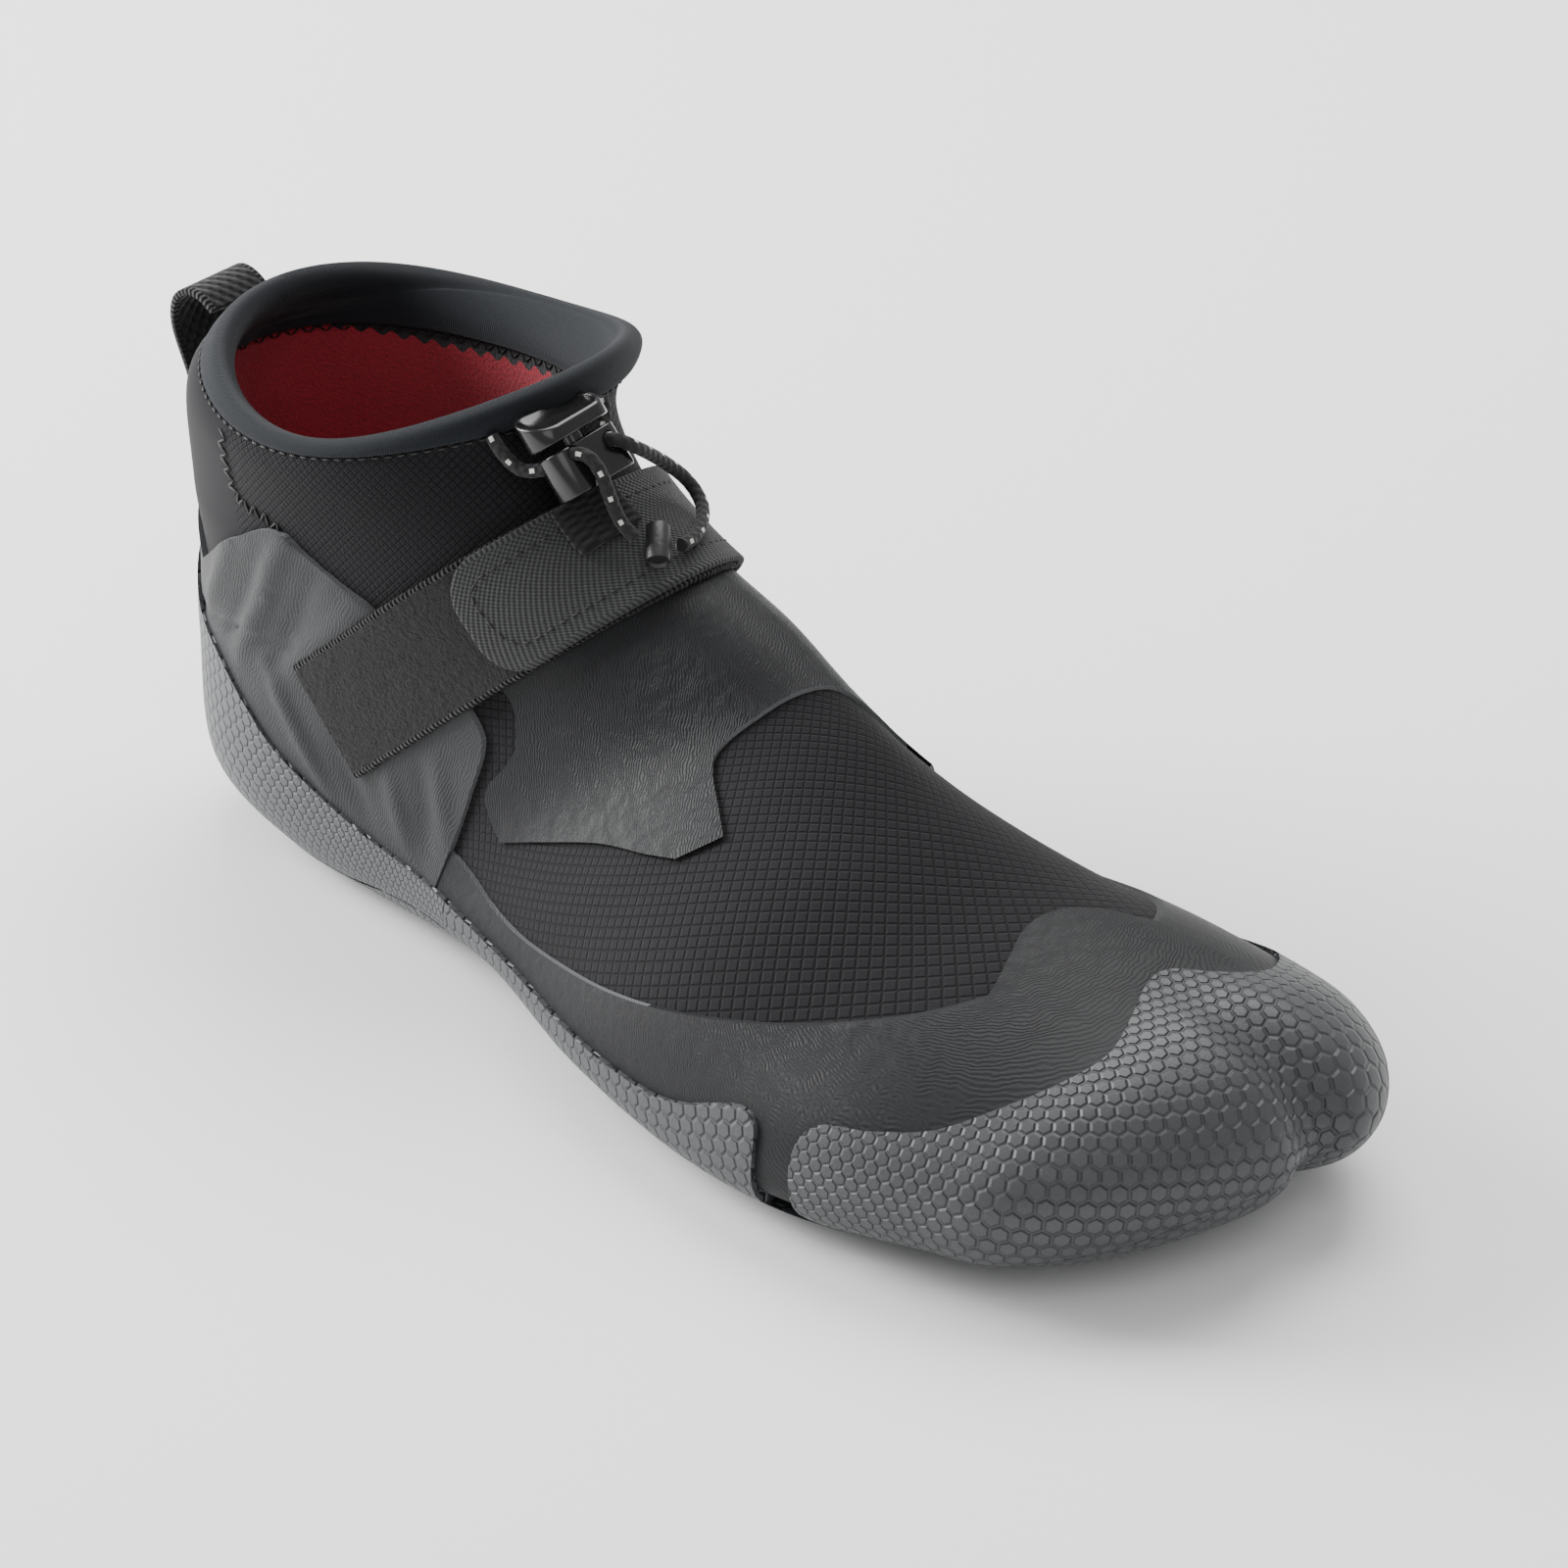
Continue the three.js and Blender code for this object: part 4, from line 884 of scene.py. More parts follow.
# ---- Strap -------------------------------------------------------------------------------------
# A band sewn in at the outer sole goes over the instep, round a wire ring on the inner side and
# back.  Its first run is black loop pile, and the free end is a woven tab with overlocked edges.
STRAP_WIDTH = 24.5
STRAP_FOOT, STRAP_TAB, STRAP_RING = -38.6, 7.4, -13.1
TAB_CORNER = 9
PLY = 1.4
PILE_HEIGHT, TAB_HEIGHT, ANCHOR_HEIGHT = 0.75, 2.25, 2.2  # of each ply's middle over the bed
ALONG = Vector((math.cos(STRAP_TILT), 0, math.sin(STRAP_TILT)))
ACROSS = Vector((-math.sin(STRAP_TILT), 0, math.cos(STRAP_TILT)))
bed = sock("strap_bed", -0.9, closed=False, under_rubber=True)
bed_tree = BVHTree.FromObject(bed, bpy.context.evaluated_depsgraph_get())
bpy.data.objects.remove(bed)


def band_line(w):
    """The bed's section along the strap, w from its middle: points, places along the side view."""
    middle = Vector((STRAP_MIDDLE[0], -4, STRAP_MIDDLE[1] - TREAD_REST)) - ALONG * 22 + ACROSS * w
    points = []
    for degrees in np.arange(-150, 130, 1.2):
        t = math.radians(degrees)
        way = ALONG * math.cos(t) + Vector((0, 1, 0)) * math.sin(t)
        hit = bed_tree.ray_cast(middle * MM, way)[0]
        if hit:
            points.append(hit / MM)
    points = np.array(points)
    base = np.array([STRAP_MIDDLE[0], 0, STRAP_MIDDLE[1] - TREAD_REST])
    return points, (points - base) @ np.array(ALONG)


ROWS_ACROSS = np.linspace(-STRAP_WIDTH / 2 - 0.75, STRAP_WIDTH / 2 + 0.75, 27)
TRACK = np.arange(-110, 110, 1.0)
lines, far_out, far_in = [], [], []
for w in ROWS_ACROSS:
    points, s = band_line(w)
    q = arc_length(points[None], 1)[0]
    q -= np.interp(-4, points[:, 1], q)
    lines.append(np.stack([np.interp(TRACK, q, points[:, k]) for k in range(3)], axis=1))
    far_out.append((s[q < 0], q[q < 0]))
    far_in.append((s[q > 0][::-1], q[q > 0][::-1]))
lines = np.array(lines)
for _ in range(6):
    lines[:, 1:-1] = (lines[:, :-2] + 2 * lines[:, 1:-1] + lines[:, 2:]) / 4
facing = np.cross(np.gradient(lines, axis=1), np.gradient(lines, axis=0))
facing /= np.linalg.norm(facing, axis=2)[:, :, None] + 1e-9
if facing[len(facing) // 2, len(TRACK) // 2, 0] < 0:
    facing = -facing


def outer_track(w, s):
    """How far along the strap the outer side's place s lies, from the ridge."""
    k = np.abs(ROWS_ACROSS - w).argmin()
    return np.interp(s, *far_out[k])


def inner_track(w, s):
    k = np.abs(ROWS_ACROSS - w).argmin()
    return np.interp(s, *far_in[k])


def over_bed(w, q, height):
    """A point on or over the strap's bed, at w across and q along."""
    k = np.clip((w - ROWS_ACROSS[0]) / (ROWS_ACROSS[1] - ROWS_ACROSS[0]), 0,
                len(ROWS_ACROSS) - 1.001)
    i, f = int(k), k - int(k)
    p = [np.interp(q, TRACK, lines[i, :, c]) * (1 - f) + np.interp(q, TRACK,
                                                                   lines[i + 1, :, c]) * f
         for c in range(3)]
    n = np.array([np.interp(q, TRACK, facing[i, :, c]) for c in range(3)])
    return np.array(p) + n / np.linalg.norm(n) * height


def sheet(name, points, uv, thickness, edge=0.35):
    """A ply of webbing over a grid of middle points, with soft edges."""
    n_along, n_across = points.shape[0] - 1, points.shape[1] - 1
    deselect()
    bpy.ops.mesh.primitive_grid_add(x_subdivisions=n_across, y_subdivisions=n_along, size=1)
    piece = bpy.context.object
    piece.name = name
    piece.data.vertices.foreach_set("co", (points.reshape(-1, 3) * MM).ravel())
    corner = np.empty(len(piece.data.loops), int)
    piece.data.loops.foreach_get("vertex_index", corner)
    piece.data.uv_layers.active.data.foreach_set("uv", (uv.reshape(-1, 2) * MM)[corner].ravel())
    piece.data.update()
    use(piece, "SOLIDIFY", thickness=thickness * MM, offset=0, use_even_offset=True)
    use(piece, "BEVEL", width=edge * MM, segments=2, limit_method="ANGLE",
        angle_limit=math.radians(60))
    edit(piece)
    bpy.ops.mesh.normals_make_consistent(inside=False)
    bpy.ops.object.mode_set(mode="OBJECT")
    smooth_faces(piece, 50)
    return piece


def band(name, path, width, thickness, rows=16, fuzz=0.0):
    """A ply whose path gives, for each place w across it, the (q, height) points along it."""
    ws = np.linspace(-width / 2, width / 2, rows + 1)
    tracks = [path(w) for w in ws]
    points = np.array([[over_bed(w, *spot) for w,
                        spot in zip(ws, spots)] for spots in zip(*tracks)])
    points += np.random.default_rng(7).uniform(-fuzz, fuzz, points.shape)
    length = arc_length(points, 0)
    uv = np.stack([np.broadcast_to(ws, length.shape), length], axis=2)
    return sheet(name, points, uv, thickness)


woven, entry, leave = new_group(
    "woven_threads",
    [("Surface", "Vector", None), ("Across", "Float", 0.0009), ("Along", "Float", 0.0009)],
    [("Height", "Float")],
)
cell = add_node(woven, "CombineXYZ", entry["Across"], entry["Along"], 1.0)
place = add_node(woven, "VectorMath", entry["Surface"], cell, operation="DIVIDE")
turned = add_node(woven, "VectorMath", place, (math.pi, math.pi, math.pi), operation="MULTIPLY")
apart = add_node(woven, "SeparateXYZ", turned)
sines = [add_node(woven, "Math", apart.node.outputs[k], operation="SINE") for k in (0, 1)]
product = add_node(woven, "Math", *sines, operation="MULTIPLY")
woven.links.new(add_node(woven, "MapRange", product, -0.7, 0.7), leave["Height"])


def webbing(name, colour, across, along, selvedge=None, depth=0.0003, pile=False):
    """Woven or pile webbing; past the selvedge it is overlocked in close ribs."""
    material, tree, shader = new_material(name, 0.85, sheen=0.12)
    shader.inputs["Specular IOR Level"].default_value = 0.2
    surface = add_node(tree, "TexCoord", output=2)
    height = place_group(tree, woven, surface, across, along)
    if pile:
        height = add_node(tree, "MapRange",
                          add_node(tree, "TexNoise", surface, None, 1100.0, 4.0, 0.75), 0.3, 0.7)
    if selvedge:
        apart = add_node(tree, "SeparateXYZ", surface)
        aside = add_node(tree, "Math", apart, operation="ABSOLUTE")
        beyond = add_node(tree, "Math", aside, selvedge, operation="GREATER_THAN")
        ribs = add_node(tree, "Math", apart.node.outputs[1], 2 * math.pi / 0.0011,
                        operation="MULTIPLY")
        ribs = add_node(tree, "MapRange", add_node(tree, "Math", ribs, operation="SINE"), -1.0,
                        1.0)
        height = add_node(tree, "Mix", beyond, None, height, ribs)
    cloth = fabric_node(tree, surface, colour, 0.5)
    # Painted shade: the low places of the weave, the pile and the ribs are coloured darker than
    # the cloth.
    dark = (*[c * 0.35 for c in colour], 1)
    shade = add_node(tree, "MapRange", height, 0.1, 0.8)
    tree.links.new(mixed(tree, shade, dark, cloth), shader.inputs["Base Color"])
    bump(tree, shader, height, depth)
    return material


pile_cloth = webbing("strap_loop_pile", (0.008, 0.008, 0.0085), 0.0007, 0.0007, 0.0112, 0.0008,
                     True)
tab_cloth = webbing("strap_woven", (0.05, 0.051, 0.052), 0.00055, 0.0006, 0.0108)

RING_WIRE, RING_WIDTH, RING_SPAN, RING_ROUND = 2.6, 9.5, 26.5, 2.2
RING_UPPER = np.array([42.64, 32.92, 59.69 - TREAD_REST])
RING_AXIS, RING_ACROSS, RING_OUT = (
    np.array(v) for v in ((-0.659, -0.0221, 0.7518), (-0.7422, 0.1811, -0.6452),
                          (0.1219, 0.9832, 0.1358)))
bar_height = (RING_UPPER - over_bed(0, inner_track(0, STRAP_RING), 0)) @ RING_OUT
WRAP = RING_WIRE / 2 + PLY / 2 + 0.15


def pile_path(w):
    start, end = outer_track(w, STRAP_FOOT), inner_track(w, STRAP_RING) - 5
    return [(q, PILE_HEIGHT) for q in np.linspace(start, end, 180)]


def tab_path(w):
    aside = max(abs(w) - (STRAP_WIDTH / 2 - TAB_CORNER), 0)
    end = outer_track(w, STRAP_TAB + TAB_CORNER - math.sqrt(max(TAB_CORNER ** 2 - aside ** 2, 0)))
    ring = inner_track(w, STRAP_RING)
    under = [(q, TAB_HEIGHT + (bar_height - WRAP - TAB_HEIGHT) * smooth((q - ring + 9) / 9))
             for q in np.linspace(ring - 9, ring - 0.8, 6)]
    round_bar = [(ring + WRAP * math.cos(t), bar_height + WRAP * math.sin(t))
                 for t in np.radians(np.arange(-90, 91, 15))]
    back = [(q, TAB_HEIGHT + (bar_height + WRAP - TAB_HEIGHT) * (1 - smooth((ring - 1 - q) / 16)))
            for q in np.linspace(ring - 1.2, end, 90)]
    return under + round_bar + back


pile = band("strap_pile_run", pile_path, STRAP_WIDTH, PLY, rows=36, fuzz=0.13)
keep(pile, "strap_webbing", "strap", material=pile_cloth)
tab = band("strap_woven_tab", tab_path, STRAP_WIDTH - 0.6, PLY, rows=24)
keep(tab, "strap_webbing", material=tab_cloth)

# ---- Ring and its anchor -----------------------------------------------------------------------
# The strap's ring is black coated steel wire with round corners.  A ribbed elastic loop holds its
# lower bar, sewn down on the inner side of the quarter.
deselect()
bpy.ops.mesh.primitive_torus_add(major_segments=72, minor_segments=14, major_radius=1,
                                 minor_radius=0.1)
ring = bpy.context.object
ring.name = "strap_ring_wire"
middle = RING_UPPER + RING_ACROSS * RING_WIDTH / 2
for vertex in ring.data.vertices:
    x, y, z = vertex.co
    turn_at = math.atan2(y, x)
    c, s = math.cos(turn_at), math.sin(turn_at)
    aim_x, aim_y = (math.copysign(abs(v) ** 0.22, v) for v in (c, s))
    inside = np.array([aim_x * (RING_SPAN / 2 - RING_ROUND),
                       aim_y * (RING_WIDTH / 2 - RING_ROUND)])
    stand = RING_ROUND + (math.hypot(x, y) - 1) * 10 * RING_WIRE / 2
    flat = inside + np.array([c, s]) * stand
    spot = middle + RING_AXIS * flat[0] + RING_ACROSS * flat[1] + RING_OUT * z * 10 * RING_WIRE / 2
    vertex.co = Vector(spot) * MM
ring.data.update()
smooth_faces(ring, 60)
coated, tree, shader = new_material("coated_wire", 0.34, metallic=0.4)
surface = add_node(tree, "TexCoord", output=3)
tree.links.new(place_group(tree, uneven, surface, (0.02, 0.02, 0.021, 1), 0.4, 900.0),
               shader.inputs["Base Color"])
wear = add_node(tree, "TexNoise", surface, None, 500.0, 3.0)
tree.links.new(add_node(tree, "MapRange", wear, 0.3, 0.7, 0.25, 0.45), shader.inputs["Roughness"])
keep(ring, "dark_steel", "strap_ring", material=coated)

ANCHOR_FOOT, ANCHOR_WIDTH = -39, 26


def anchor_path(w):
    lower = inner_track(w, STRAP_RING) + RING_WIDTH
    foot = inner_track(w, ANCHOR_FOOT)
    under = [(q, PILE_HEIGHT + (bar_height - WRAP - PILE_HEIGHT) * (1 - smooth((q - lower) / 7)))
             for q in np.linspace(foot, lower + 0.8, 26)]
    round_bar = [(lower - WRAP * math.sin(t), bar_height - WRAP * math.cos(t))
                 for t in np.radians(np.arange(0, 181, 15))]
    over = [(q, ANCHOR_HEIGHT
             + (bar_height + WRAP - ANCHOR_HEIGHT) * (1 - smooth((q - lower) / 10)))
            for q in np.linspace(lower + 1.2, foot, 30)]
    return under + round_bar + over


anchor = band("strap_anchor_loop", anchor_path, ANCHOR_WIDTH - 3, PLY)
elastic = webbing("anchor_elastic", (0.02, 0.02, 0.021), 0.0022, 0.0006, depth=0.0004)
keep(anchor, "strap_webbing", "strap_anchor", material=elastic)

# ---- Cord lock ---------------------------------------------------------------------------------
# A spring lock of glossy black plastic: an oval button, dished on top, over a barrel that both
# strands of the cord pass through.
LOCK_TOP = Vector((63.6, -11.4, 110.1 - TREAD_REST))
LOCK_UP = Vector((-0.6, -0.1, 0.79)).normalized()
LOCK_WIDE = (Vector((0, 1, 0)) - LOCK_UP * LOCK_UP.y).normalized()
LOCK_OUT = LOCK_WIDE.cross(LOCK_UP).normalized()
CAP, CAP_WIDTH, CAP_DEPTH = 4.2, 18, 9.2
PRESS, GAP = 1.2, 0.3
BARREL, BARREL_WIDTH, BARREL_DEPTH = 9, 17, 8
STEM, STEM_LENGTH, BORE_DEPTH = 3.6, 3.7, 4
BARREL_TOP = LOCK_TOP - LOCK_UP * (CAP / 2 + PRESS + GAP)


def lock_block(name, low, high, width, depth, corner, edge):
    """An upright block from low to high, its corners rounded and its rims softly bevelled."""
    deselect()
    bpy.ops.mesh.primitive_cube_add(size=1)
    block = bpy.context.object
    block.name = name
    edit(block, "EDGE")
    bpy.ops.transform.resize(value=(width * MM, depth * MM, (high - low) * MM))
    bpy.ops.transform.translate(value=(0, 0, (low + high) / 2 * MM))
    bpy.ops.mesh.select_all(action="DESELECT")
    bpy.ops.object.mode_set(mode="OBJECT")
    for line in block.data.edges:
        a, b = (block.data.vertices[k].co for k in line.vertices)
        line.select = abs(a.z - b.z) > 0.5 * (high - low) * MM
    bpy.ops.object.mode_set(mode="EDIT")
    bpy.ops.mesh.bevel(offset=corner * MM, segments=9)
    bpy.ops.mesh.select_all(action="SELECT")
    bpy.ops.mesh.remove_doubles(threshold=1e-6)
    bpy.ops.object.mode_set(mode="OBJECT")
    if edge:
        use(block, "BEVEL", width=edge * MM, segments=3, limit_method="ANGLE",
            angle_limit=math.radians(60))
    return block


def set_on_lock(block, base):
    frame_of_lock = Matrix((LOCK_WIDE, -LOCK_OUT, LOCK_UP)).transposed().to_4x4()
    block.data.transform(Matrix.Translation(base * MM) @ frame_of_lock)
    block.data.update()


def strand_points(points, steps=36):
    line = [Vector(p) - Vector((0, 0, TREAD_REST)) for p in curved(points, closed=False, steps=8)]
    lengths = np.concatenate([[0], np.cumsum([(b - a).length for a, b in zip(line, line[1:])])])
    at = np.linspace(0, lengths[-1], steps)
    return [Vector([np.interp(t, lengths, [p[k] for p in line]) for k in range(3)]) for t in at]


CORD, CORD_PLAY = 2.6, 0.35
STRANDS = {
    "drawcord_outer": [(54.4, -21, 108), (57.2, -20.9, 105.3), (60.8, -19.8, 102.9),
                       (64.6, -17.9, 103.6),
                       (67.7, -16.3, 106.1), (70.4, -14.9, 107.8), (73, -13.8, 107.4),
                       (74.8, -13, 104.8),
                       (75.8, -12.2, 101.2), (76.6, -11.4, 97.6), (78, -10.6, 94.4),
                       (80, -9.4, 92)],
    "drawcord_inner": [(60.4, 1.2, 110.4), (61.6, 0.8, 107.6), (63.2, -1.2, 105.3),
                       (65.5, -3.4, 104.7),
                       (67.9, -5.2, 106.2), (70.2, -6.4, 107.8), (72.4, -5.4, 107.8),
                       (72.8, -1.8, 105.2),
                       (71.6, 2.8, 101.8), (70.6, 8.4, 97.2), (71.6, 12.4, 92.8), (75.4, 12, 89.8),
                       (80, 7.6, 89), (83.4, 2, 89), (84.6, -2.2, 89.5)],
}


def tube(name, points, radius, around=14):
    """A round tube along a line, with its length and girth in metres as UV."""
    n = len(points)
    tangents = [(points[min(i + 1, n - 1)] - points[max(i - 1, 0)]).normalized() for i in range(n)]
    side = tangents[0].orthogonal().normalized()
    rings, uv, walked = [], [], 0.0
    for i, (p, t) in enumerate(zip(points, tangents)):
        side = (side - t * side.dot(t)).normalized()
        other = t.cross(side)
        walked += (p - points[i - 1]).length if i else 0
        turns = [2 * math.pi * k / around for k in range(around + 1)]
        rings += [p + (side * math.cos(a) + other * math.sin(a)) * radius for a in turns]
        uv += [(a * radius, walked) for a in turns]
    deselect()
    bpy.ops.mesh.primitive_grid_add(x_subdivisions=around, y_subdivisions=n - 1, size=1)
    piece = bpy.context.object
    piece.name = name
    piece.data.vertices.foreach_set("co", (np.array(rings) * MM).ravel())
    corner = np.empty(len(piece.data.loops), int)
    piece.data.loops.foreach_get("vertex_index", corner)
    piece.data.uv_layers.active.data.foreach_set("uv", (np.array(uv) * MM)[corner].ravel())
    piece.data.update()
    edit(piece)
    bpy.ops.mesh.remove_doubles(threshold=1e-6)
    bpy.ops.mesh.select_all(action="DESELECT")
    bpy.ops.mesh.select_non_manifold()
    bpy.ops.mesh.edge_face_add()
    bpy.ops.mesh.select_all(action="SELECT")
    bpy.ops.mesh.normals_make_consistent(inside=False)
    bpy.ops.object.mode_set(mode="OBJECT")
    smooth_faces(piece, 60)
    return piece


barrel = lock_block("cord_lock_barrel", -BARREL, 0, BARREL_WIDTH, BARREL_DEPTH, 3.4, 0.5)
set_on_lock(barrel, BARREL_TOP)
bore = lock_block("bore", -BORE_DEPTH, 2, STEM + 2 * GAP, STEM + 2 * GAP, STEM / 2, 0)
set_on_lock(bore, BARREL_TOP)
cut(barrel, "DIFFERENCE", bore)
for points in STRANDS.values():
    cut(barrel, "DIFFERENCE", tube("hole", strand_points(points), CORD / 2 + CORD_PLAY))
smooth_faces(barrel, 40)
glossy, tree, shader = new_material("glossy_black_plastic", 0.27)
surface = add_node(tree, "TexCoord", output=3)
tree.links.new(place_group(tree, uneven, surface, (0.006, 0.006, 0.0065, 1), 0.3, 500.0),
               shader.inputs["Base Color"])
haze = add_node(tree, "TexNoise", surface, None, 260.0, 4.0)
tree.links.new(add_node(tree, "MapRange", haze, 0.3, 0.7, 0.15, 0.26), shader.inputs["Roughness"])
bump(tree, shader, haze, 0.00003, 0.4)
keep(barrel, "lock_plastic", "cord_lock", material=glossy)

cap_base = BARREL_TOP + LOCK_UP * (PRESS + GAP)
button = lock_block("lock_button_cap", 0, CAP, CAP_WIDTH, CAP_DEPTH, 4.4, 0)
pick_faces(button, lambda face: face.normal.z > 0.9)
bpy.ops.mesh.inset(thickness=0.9 * MM)
for inset, sink in ((0.45, -0.7), (0.9, -0.45), (1.0, -0.15)):
    bpy.ops.mesh.inset(thickness=inset * MM)
    bpy.ops.transform.translate(value=(0, 0, sink * MM))
bpy.ops.object.mode_set(mode="OBJECT")
use(button, "BEVEL", width=0.55 * MM, segments=3, limit_method="ANGLE",
    angle_limit=math.radians(50))
for vertex in button.data.vertices:
    if vertex.co.z > CAP / 3 * MM:
        vertex.co.z += 0.9 * MM + 0.52 * vertex.co.y
stem = lock_block("stem", -STEM_LENGTH, 1, STEM, STEM, STEM / 2 - 0.2, 0)
cut(button, "UNION", stem)
set_on_lock(button, cap_base)
smooth_faces(button, 40)
keep(button, "lock_plastic", "lock_button", material=glossy, body="button")

# ---- Webbing tab under the lock ----------------------------------------------------------------
# A short ribbed tab comes down from the lock's foot over the strap's upper edge.
TAB_WIDTH, TAB_LENGTH, TAB_PLY, TAB_LIFT = 12, 11, 1.2, 3.9
points, uv = [], []
for k in np.linspace(0, 1, 14):
    for w in np.linspace(-TAB_WIDTH / 2, TAB_WIDTH / 2, 11):
        spot = BARREL_TOP - LOCK_UP * (BARREL + GAP + k * TAB_LENGTH) + LOCK_WIDE * w
        hit, normal, *_ = bed_tree.ray_cast((spot + LOCK_OUT * 30) * MM, -LOCK_OUT)
        points.append(hit / MM + normal * TAB_LIFT)
        uv.append((w, k * TAB_LENGTH))
lock_tab = sheet("lock_webbing_tab", np.array(points).reshape(14, 11, 3),
                 np.array(uv).reshape(14, 11, 2), TAB_PLY)
ribbed = webbing("ribbed_tab", (0.02, 0.02, 0.021), 0.0026, 0.0009, depth=0.0004)
keep(lock_tab, "strap_webbing", "lock_tab", material=ribbed)

# ---- Drawcord ----------------------------------------------------------------------------------
# Two strands of braided elastic leave the binding, pass through the lock and end in one short
# sleeve.  Pale threads show as flecks on both sides of the black braid.
STOPPER, STOPPER_LENGTH = 4.6, 8.0
STOPPER_PLACE = Vector((82.6, -6.2, 90.4 - TREAD_REST))
STOPPER_AXIS = Vector((0.6, -0.6, -0.5)).normalized()
deselect()
bpy.ops.mesh.primitive_cylinder_add(vertices=32, radius=STOPPER / 2 * MM,
                                    depth=STOPPER_LENGTH * MM)
sleeve = bpy.context.object
sleeve.name = "cord_stopper_sleeve"
pick_faces(sleeve, lambda face: abs(face.normal.z) > 0.9)
bpy.ops.mesh.inset(thickness=0.7 * MM)
bpy.ops.transform.resize(value=(1, 1, 0.82))
bpy.ops.object.mode_set(mode="OBJECT")
use(sleeve, "BEVEL", width=0.4 * MM, segments=3, limit_method="ANGLE",
    angle_limit=math.radians(50))
turned = STOPPER_AXIS.to_track_quat("Z", "Y").to_matrix().to_4x4()
sleeve.data.transform(Matrix.Translation(STOPPER_PLACE * MM) @ turned)
smooth_faces(sleeve, 45)
satin, tree, shader = new_material("satin_black_sleeve", 0.4)
surface = add_node(tree, "TexCoord", output=3)
tree.links.new(place_group(tree, uneven, surface, (0.014, 0.014, 0.015, 1), 0.4, 900.0),
               shader.inputs["Base Color"])
bump(tree, shader, add_node(tree, "TexNoise", surface, None, 1100.0), 0.00008)
keep(sleeve, "bead_plastic", "cord_stopper", material=satin)

braid, tree, shader = new_material("flecked_braid", 0.8, sheen=0.1)
shader.inputs["Specular IOR Level"].default_value = 0.25
surface = add_node(tree, "TexCoord", output=2)
apart = add_node(tree, "SeparateXYZ", surface)
GIRTH = math.pi * CORD * MM
around = add_node(tree, "Math", apart, 2 / GIRTH, operation="MULTIPLY")
along = add_node(tree, "Math", apart.node.outputs[1], 1 / 0.0052, operation="MULTIPLY")
shift = add_node(tree, "Math", add_node(tree, "Math", around, operation="FLOOR"), 0.37,
                 operation="MULTIPLY")
along = add_node(tree, "Math", along, shift, operation="ADD")
across_off = add_node(tree, "Math", add_node(tree, "Math", add_node(
    tree, "Math", around, operation="FRACT"), 0.5, operation="SUBTRACT"), operation="ABSOLUTE")
along_off = add_node(tree, "Math", add_node(tree, "Math", add_node(
    tree, "Math", along, operation="FRACT"), 0.5, operation="SUBTRACT"), operation="ABSOLUTE")
in_across = add_node(tree, "Math", across_off, 0.11, operation="LESS_THAN")
in_along = add_node(tree, "Math", along_off, 0.1, operation="LESS_THAN")
fleck = add_node(tree, "Math", in_across, in_along, operation="MULTIPLY")
ribs = place_group(tree, woven, surface, 0.0013, 0.0011)
cloth = fabric_node(tree, surface, (0.016, 0.016, 0.017), 0.5)
tree.links.new(mixed(tree, fleck, cloth, (0.55, 0.54, 0.5, 1)), shader.inputs["Base Color"])
bump(tree, shader, ribs, 0.0002)
for name, points in STRANDS.items():
    route = strand_points(points)
    cord = tube(name + "_braid", route, CORD / 2)
    keep(cord, "elastic_cord", name, material=braid)

# ---- Pull loop ---------------------------------------------------------------------------------
# A finger loop of black twill webbing, sewn under the binding and at the heel cup's top.  It bows
# out behind the collar with a slight twist.
LOOP_LINE = [(-36.6, 56.5), (-36.8, 66), (-38.2, 76), (-42.6, 86), (-46, 94), (-45.6, 99.4),
             (-42.4, 102.2), (-38.4, 102.2), (-34.6, 100.2)]
LOOP_WIDTH, LOOP_PLY, LOOP_Y = 15, 1.4, -4
line = curved([(x, LOOP_Y, z - TREAD_REST) for x, z in LOOP_LINE], closed=False, steps=9)
points, uv, walked = [], [], 0.0
for i, spot in enumerate(line):
    walked += (spot - line[i - 1]).length if i else 0
    bow = math.sin(math.pi * min(1, i / len(line))) ** 2
    for w in np.linspace(-LOOP_WIDTH / 2, LOOP_WIDTH / 2, 13):
        points.append((spot.x + 0.09 * bow * w, spot.y + w * (1 - 0.05 * bow),
                       spot.z + 0.13 * bow * w))
        uv.append((w, walked))
pull = sheet("pull_loop_webbing", np.array(points).reshape(len(line), 13, 3),
             np.array(uv).reshape(len(line), 13, 2), LOOP_PLY)
twill = webbing("twill_webbing", (0.014, 0.014, 0.015), 0.0012, 0.0016, 0.0064, depth=0.0004)
keep(pull, "loop_webbing", "pull_loop", material=twill)

# ---- Stitching ---------------------------------------------------------------------------------
# Black thread: a row of straight stitches under the binding and inside the woven tab's edge, and
# zigzag over the ankle seams.
deselect()
bpy.ops.mesh.primitive_uv_sphere_add(segments=6, ring_count=5, radius=0.5)
one_stitch = bpy.context.object
stitch_shape = np.array([v.co for v in one_stitch.data.vertices])
stitch_faces = [tuple(f.vertices) for f in one_stitch.data.polygons]
bpy.data.objects.remove(one_stitch)
surface_form = sock("surface_form", 0, closed=False, under_rubber=True)
upper_tree = BVHTree.FromObject(surface_form, bpy.context.evaluated_depsgraph_get())
bpy.data.objects.remove(surface_form)
thread, tree, shader = new_material("black_thread", 0.6)
surface = add_node(tree, "TexCoord", output=3)
tree.links.new(place_group(tree, uneven, surface, (0.006, 0.006, 0.0065, 1), 0.5, 2500.0),
               shader.inputs["Base Color"])
bump(tree, shader, add_node(tree, "TexNoise", surface, None, 3000.0), 0.0001)


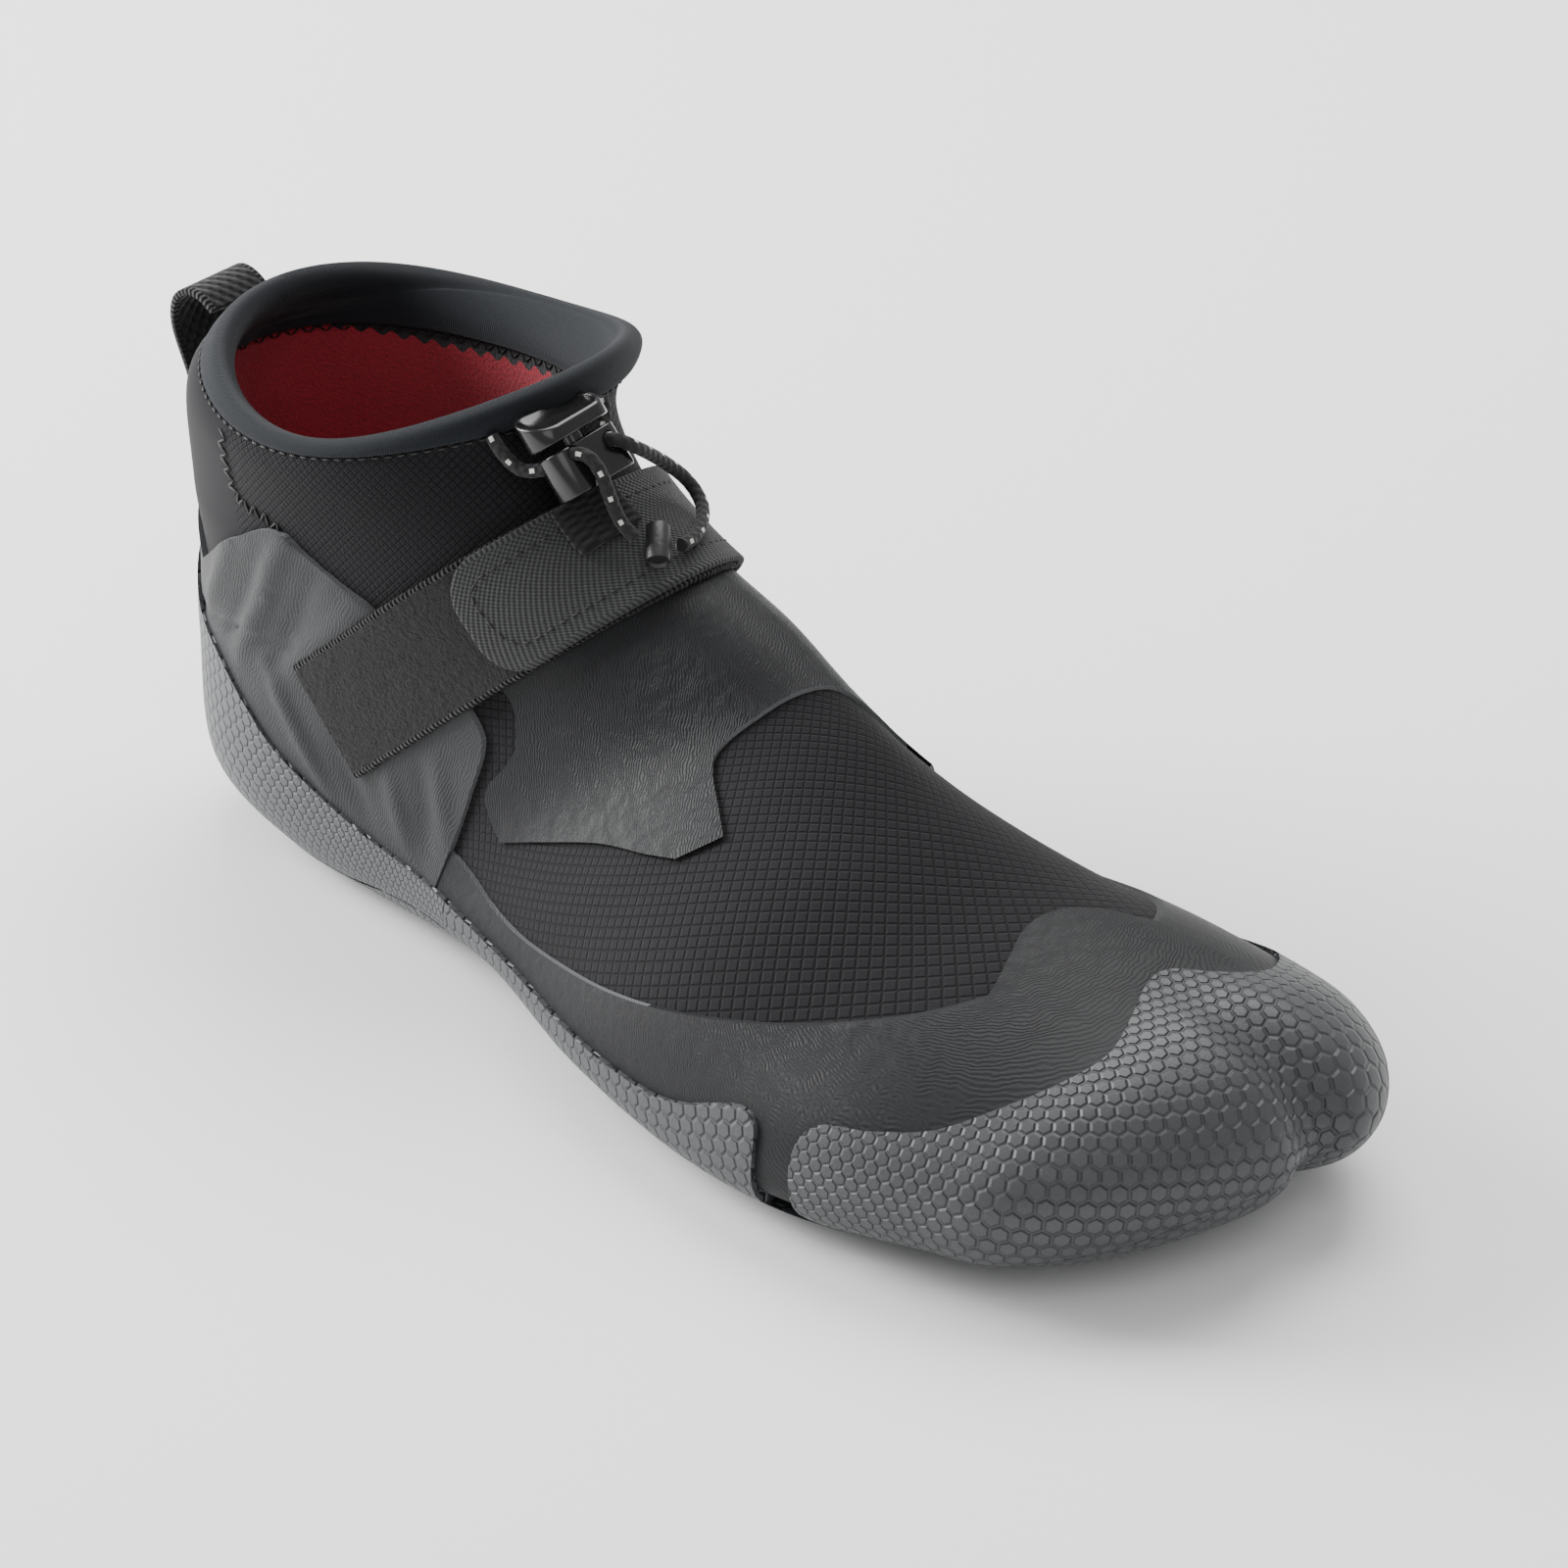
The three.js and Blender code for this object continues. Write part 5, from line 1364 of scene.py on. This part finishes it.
def sew(name, seams, thickness, slot="strap_webbing"):
    """Joins one long stitch for each (from, to, outwards) in millimetres."""
    points, faces = [], []
    for start, end, out in seams:
        start, end, out = Vector(start), Vector(end), Vector(out).normalized()
        way = end - start
        side = way.normalized().cross(out).normalized()
        frame_of = np.array([way, side * thickness, out * thickness])
        faces += [tuple(v + len(points) * len(stitch_shape) for v in f) for f in stitch_faces]
        points.append(stitch_shape @ frame_of + np.array((start + end) / 2))
    mesh = bpy.data.meshes.new(name)
    mesh.from_pydata((np.concatenate(points) * MM).tolist(), [], faces)
    piece = bpy.data.objects.new(name, mesh)
    bpy.context.collection.objects.link(piece)
    smooth_faces(piece, 180)
    keep(piece, slot, material=thread)


def spaced(points, outs, pitch, swing=0.0):
    """Places every pitch along a line, swung to and fro across it."""
    points, outs = np.array(points, float), np.array(outs, float)
    walked = arc_length(points[None], 1)[0]
    at = np.arange(0, walked[-1], pitch)
    p = np.stack([np.interp(at, walked, points[:, k]) for k in range(3)], axis=1)
    n = np.stack([np.interp(at, walked, outs[:, k]) for k in range(3)], axis=1)
    n /= np.linalg.norm(n, axis=1)[:, None]
    across = np.cross(np.gradient(p, axis=0), n)
    across /= np.linalg.norm(across, axis=1)[:, None] + 1e-9
    return p + across * (swing * (-1.0) ** np.arange(len(p)))[:, None], n


def dashes(points, outs, pitch=3.0, share=0.72):
    p, n = spaced(points, outs, pitch)
    return [(a, a + (b - a) * share, m) for a, b, m in zip(p, p[1:], n)]


def zigzag(points, outs, pitch=1.5, swing=1.5):
    p, n = spaced(points, outs, pitch, swing)
    return list(zip(p, p[1:], n))


def on_side(x, z, side, lift=0.25):
    hit, normal, *_ = upper_tree.ray_cast(Vector((x, side * 120, z)) * MM, (0, -side, 0))
    return hit / MM + normal * lift, normal


turns = np.linspace(0, 2 * math.pi, 260)
below = np.full_like(turns, 0.42)
collar_row = dashes(on_last(below, turns, -0.15), out_of(below, turns), 2.6)
sew("collar_stitches", collar_row, 0.55, "knit_binding")
seams = []
for side, seam in (
    (-1, [(0.3, 97), (0.7, 90.5), (1.7, 84.5), (4.5, 82.4), (10.3, 81.8), (15, 80)]),
    (1, [(2, 95), (3, 88), (5, 80), (8, 74), (12, 76)]),
):
    line = [(p.x, p.z) for p in curved([(x, 0, z) for x, z in seam], closed=False)]
    spots = [on_side(x, z - TREAD_REST, side) for x, z in line]
    seams += zigzag([s[0] for s in spots], [s[1] for s in spots])
sew("ankle_zigzag", seams, 0.5, "neoprene")

band_row = np.full_like(turns, 1.1)
seams = zigzag(on_last(band_row, turns, NEOPRENE + 0.15), -out_of(band_row, turns), 1.7, 0.8)
sew("lining_zigzag", seams, 0.5, "sock_lining")

INSET = 4.6
half = STRAP_WIDTH / 2 - INSET
corner = TAB_CORNER - INSET
edge_line = []
track_end = outer_track(0, STRAP_TAB) + INSET
for q in np.linspace(20, track_end + corner, 40):
    edge_line.append((-half, q))
for t in np.linspace(0, math.pi / 2, 7)[1:]:
    edge_line.append((-half + corner * (1 - math.cos(t)), track_end + corner * (1 - math.sin(t))))
edge_line += [(-w, q) for w, q in reversed(edge_line)]
spots = [over_bed(w, q, TAB_HEIGHT + PLY / 2 + 0.05) for w, q in edge_line]
outs = [over_bed(w, q, 4) - over_bed(w, q, 2) for w, q in edge_line]
tab_row = dashes(spots, outs, 2.8)
anchor_spots = []
for w in np.linspace(-11, 11, 24):
    q = inner_track(w, STRAP_RING) + RING_WIDTH + 11
    anchor_spots.append((over_bed(w, q, ANCHOR_HEIGHT + PLY / 2 + 0.05),
                         over_bed(w, q, 4) - over_bed(w, q, 2)))
tab_row += dashes([p for p, _ in anchor_spots], [n for _, n in anchor_spots], 2.4)
sew("strap_stitches", tab_row, 0.55)
loop_row = []
for z in (58.5, 62.5):
    loop_row += dashes([(-38.3, y, z) for y in np.linspace(-10.5, 2.5, 12)], [(-1, 0, 0)] * 12,
                       2.2)
sew("loop_stitches", loop_row, 0.5, "loop_webbing")
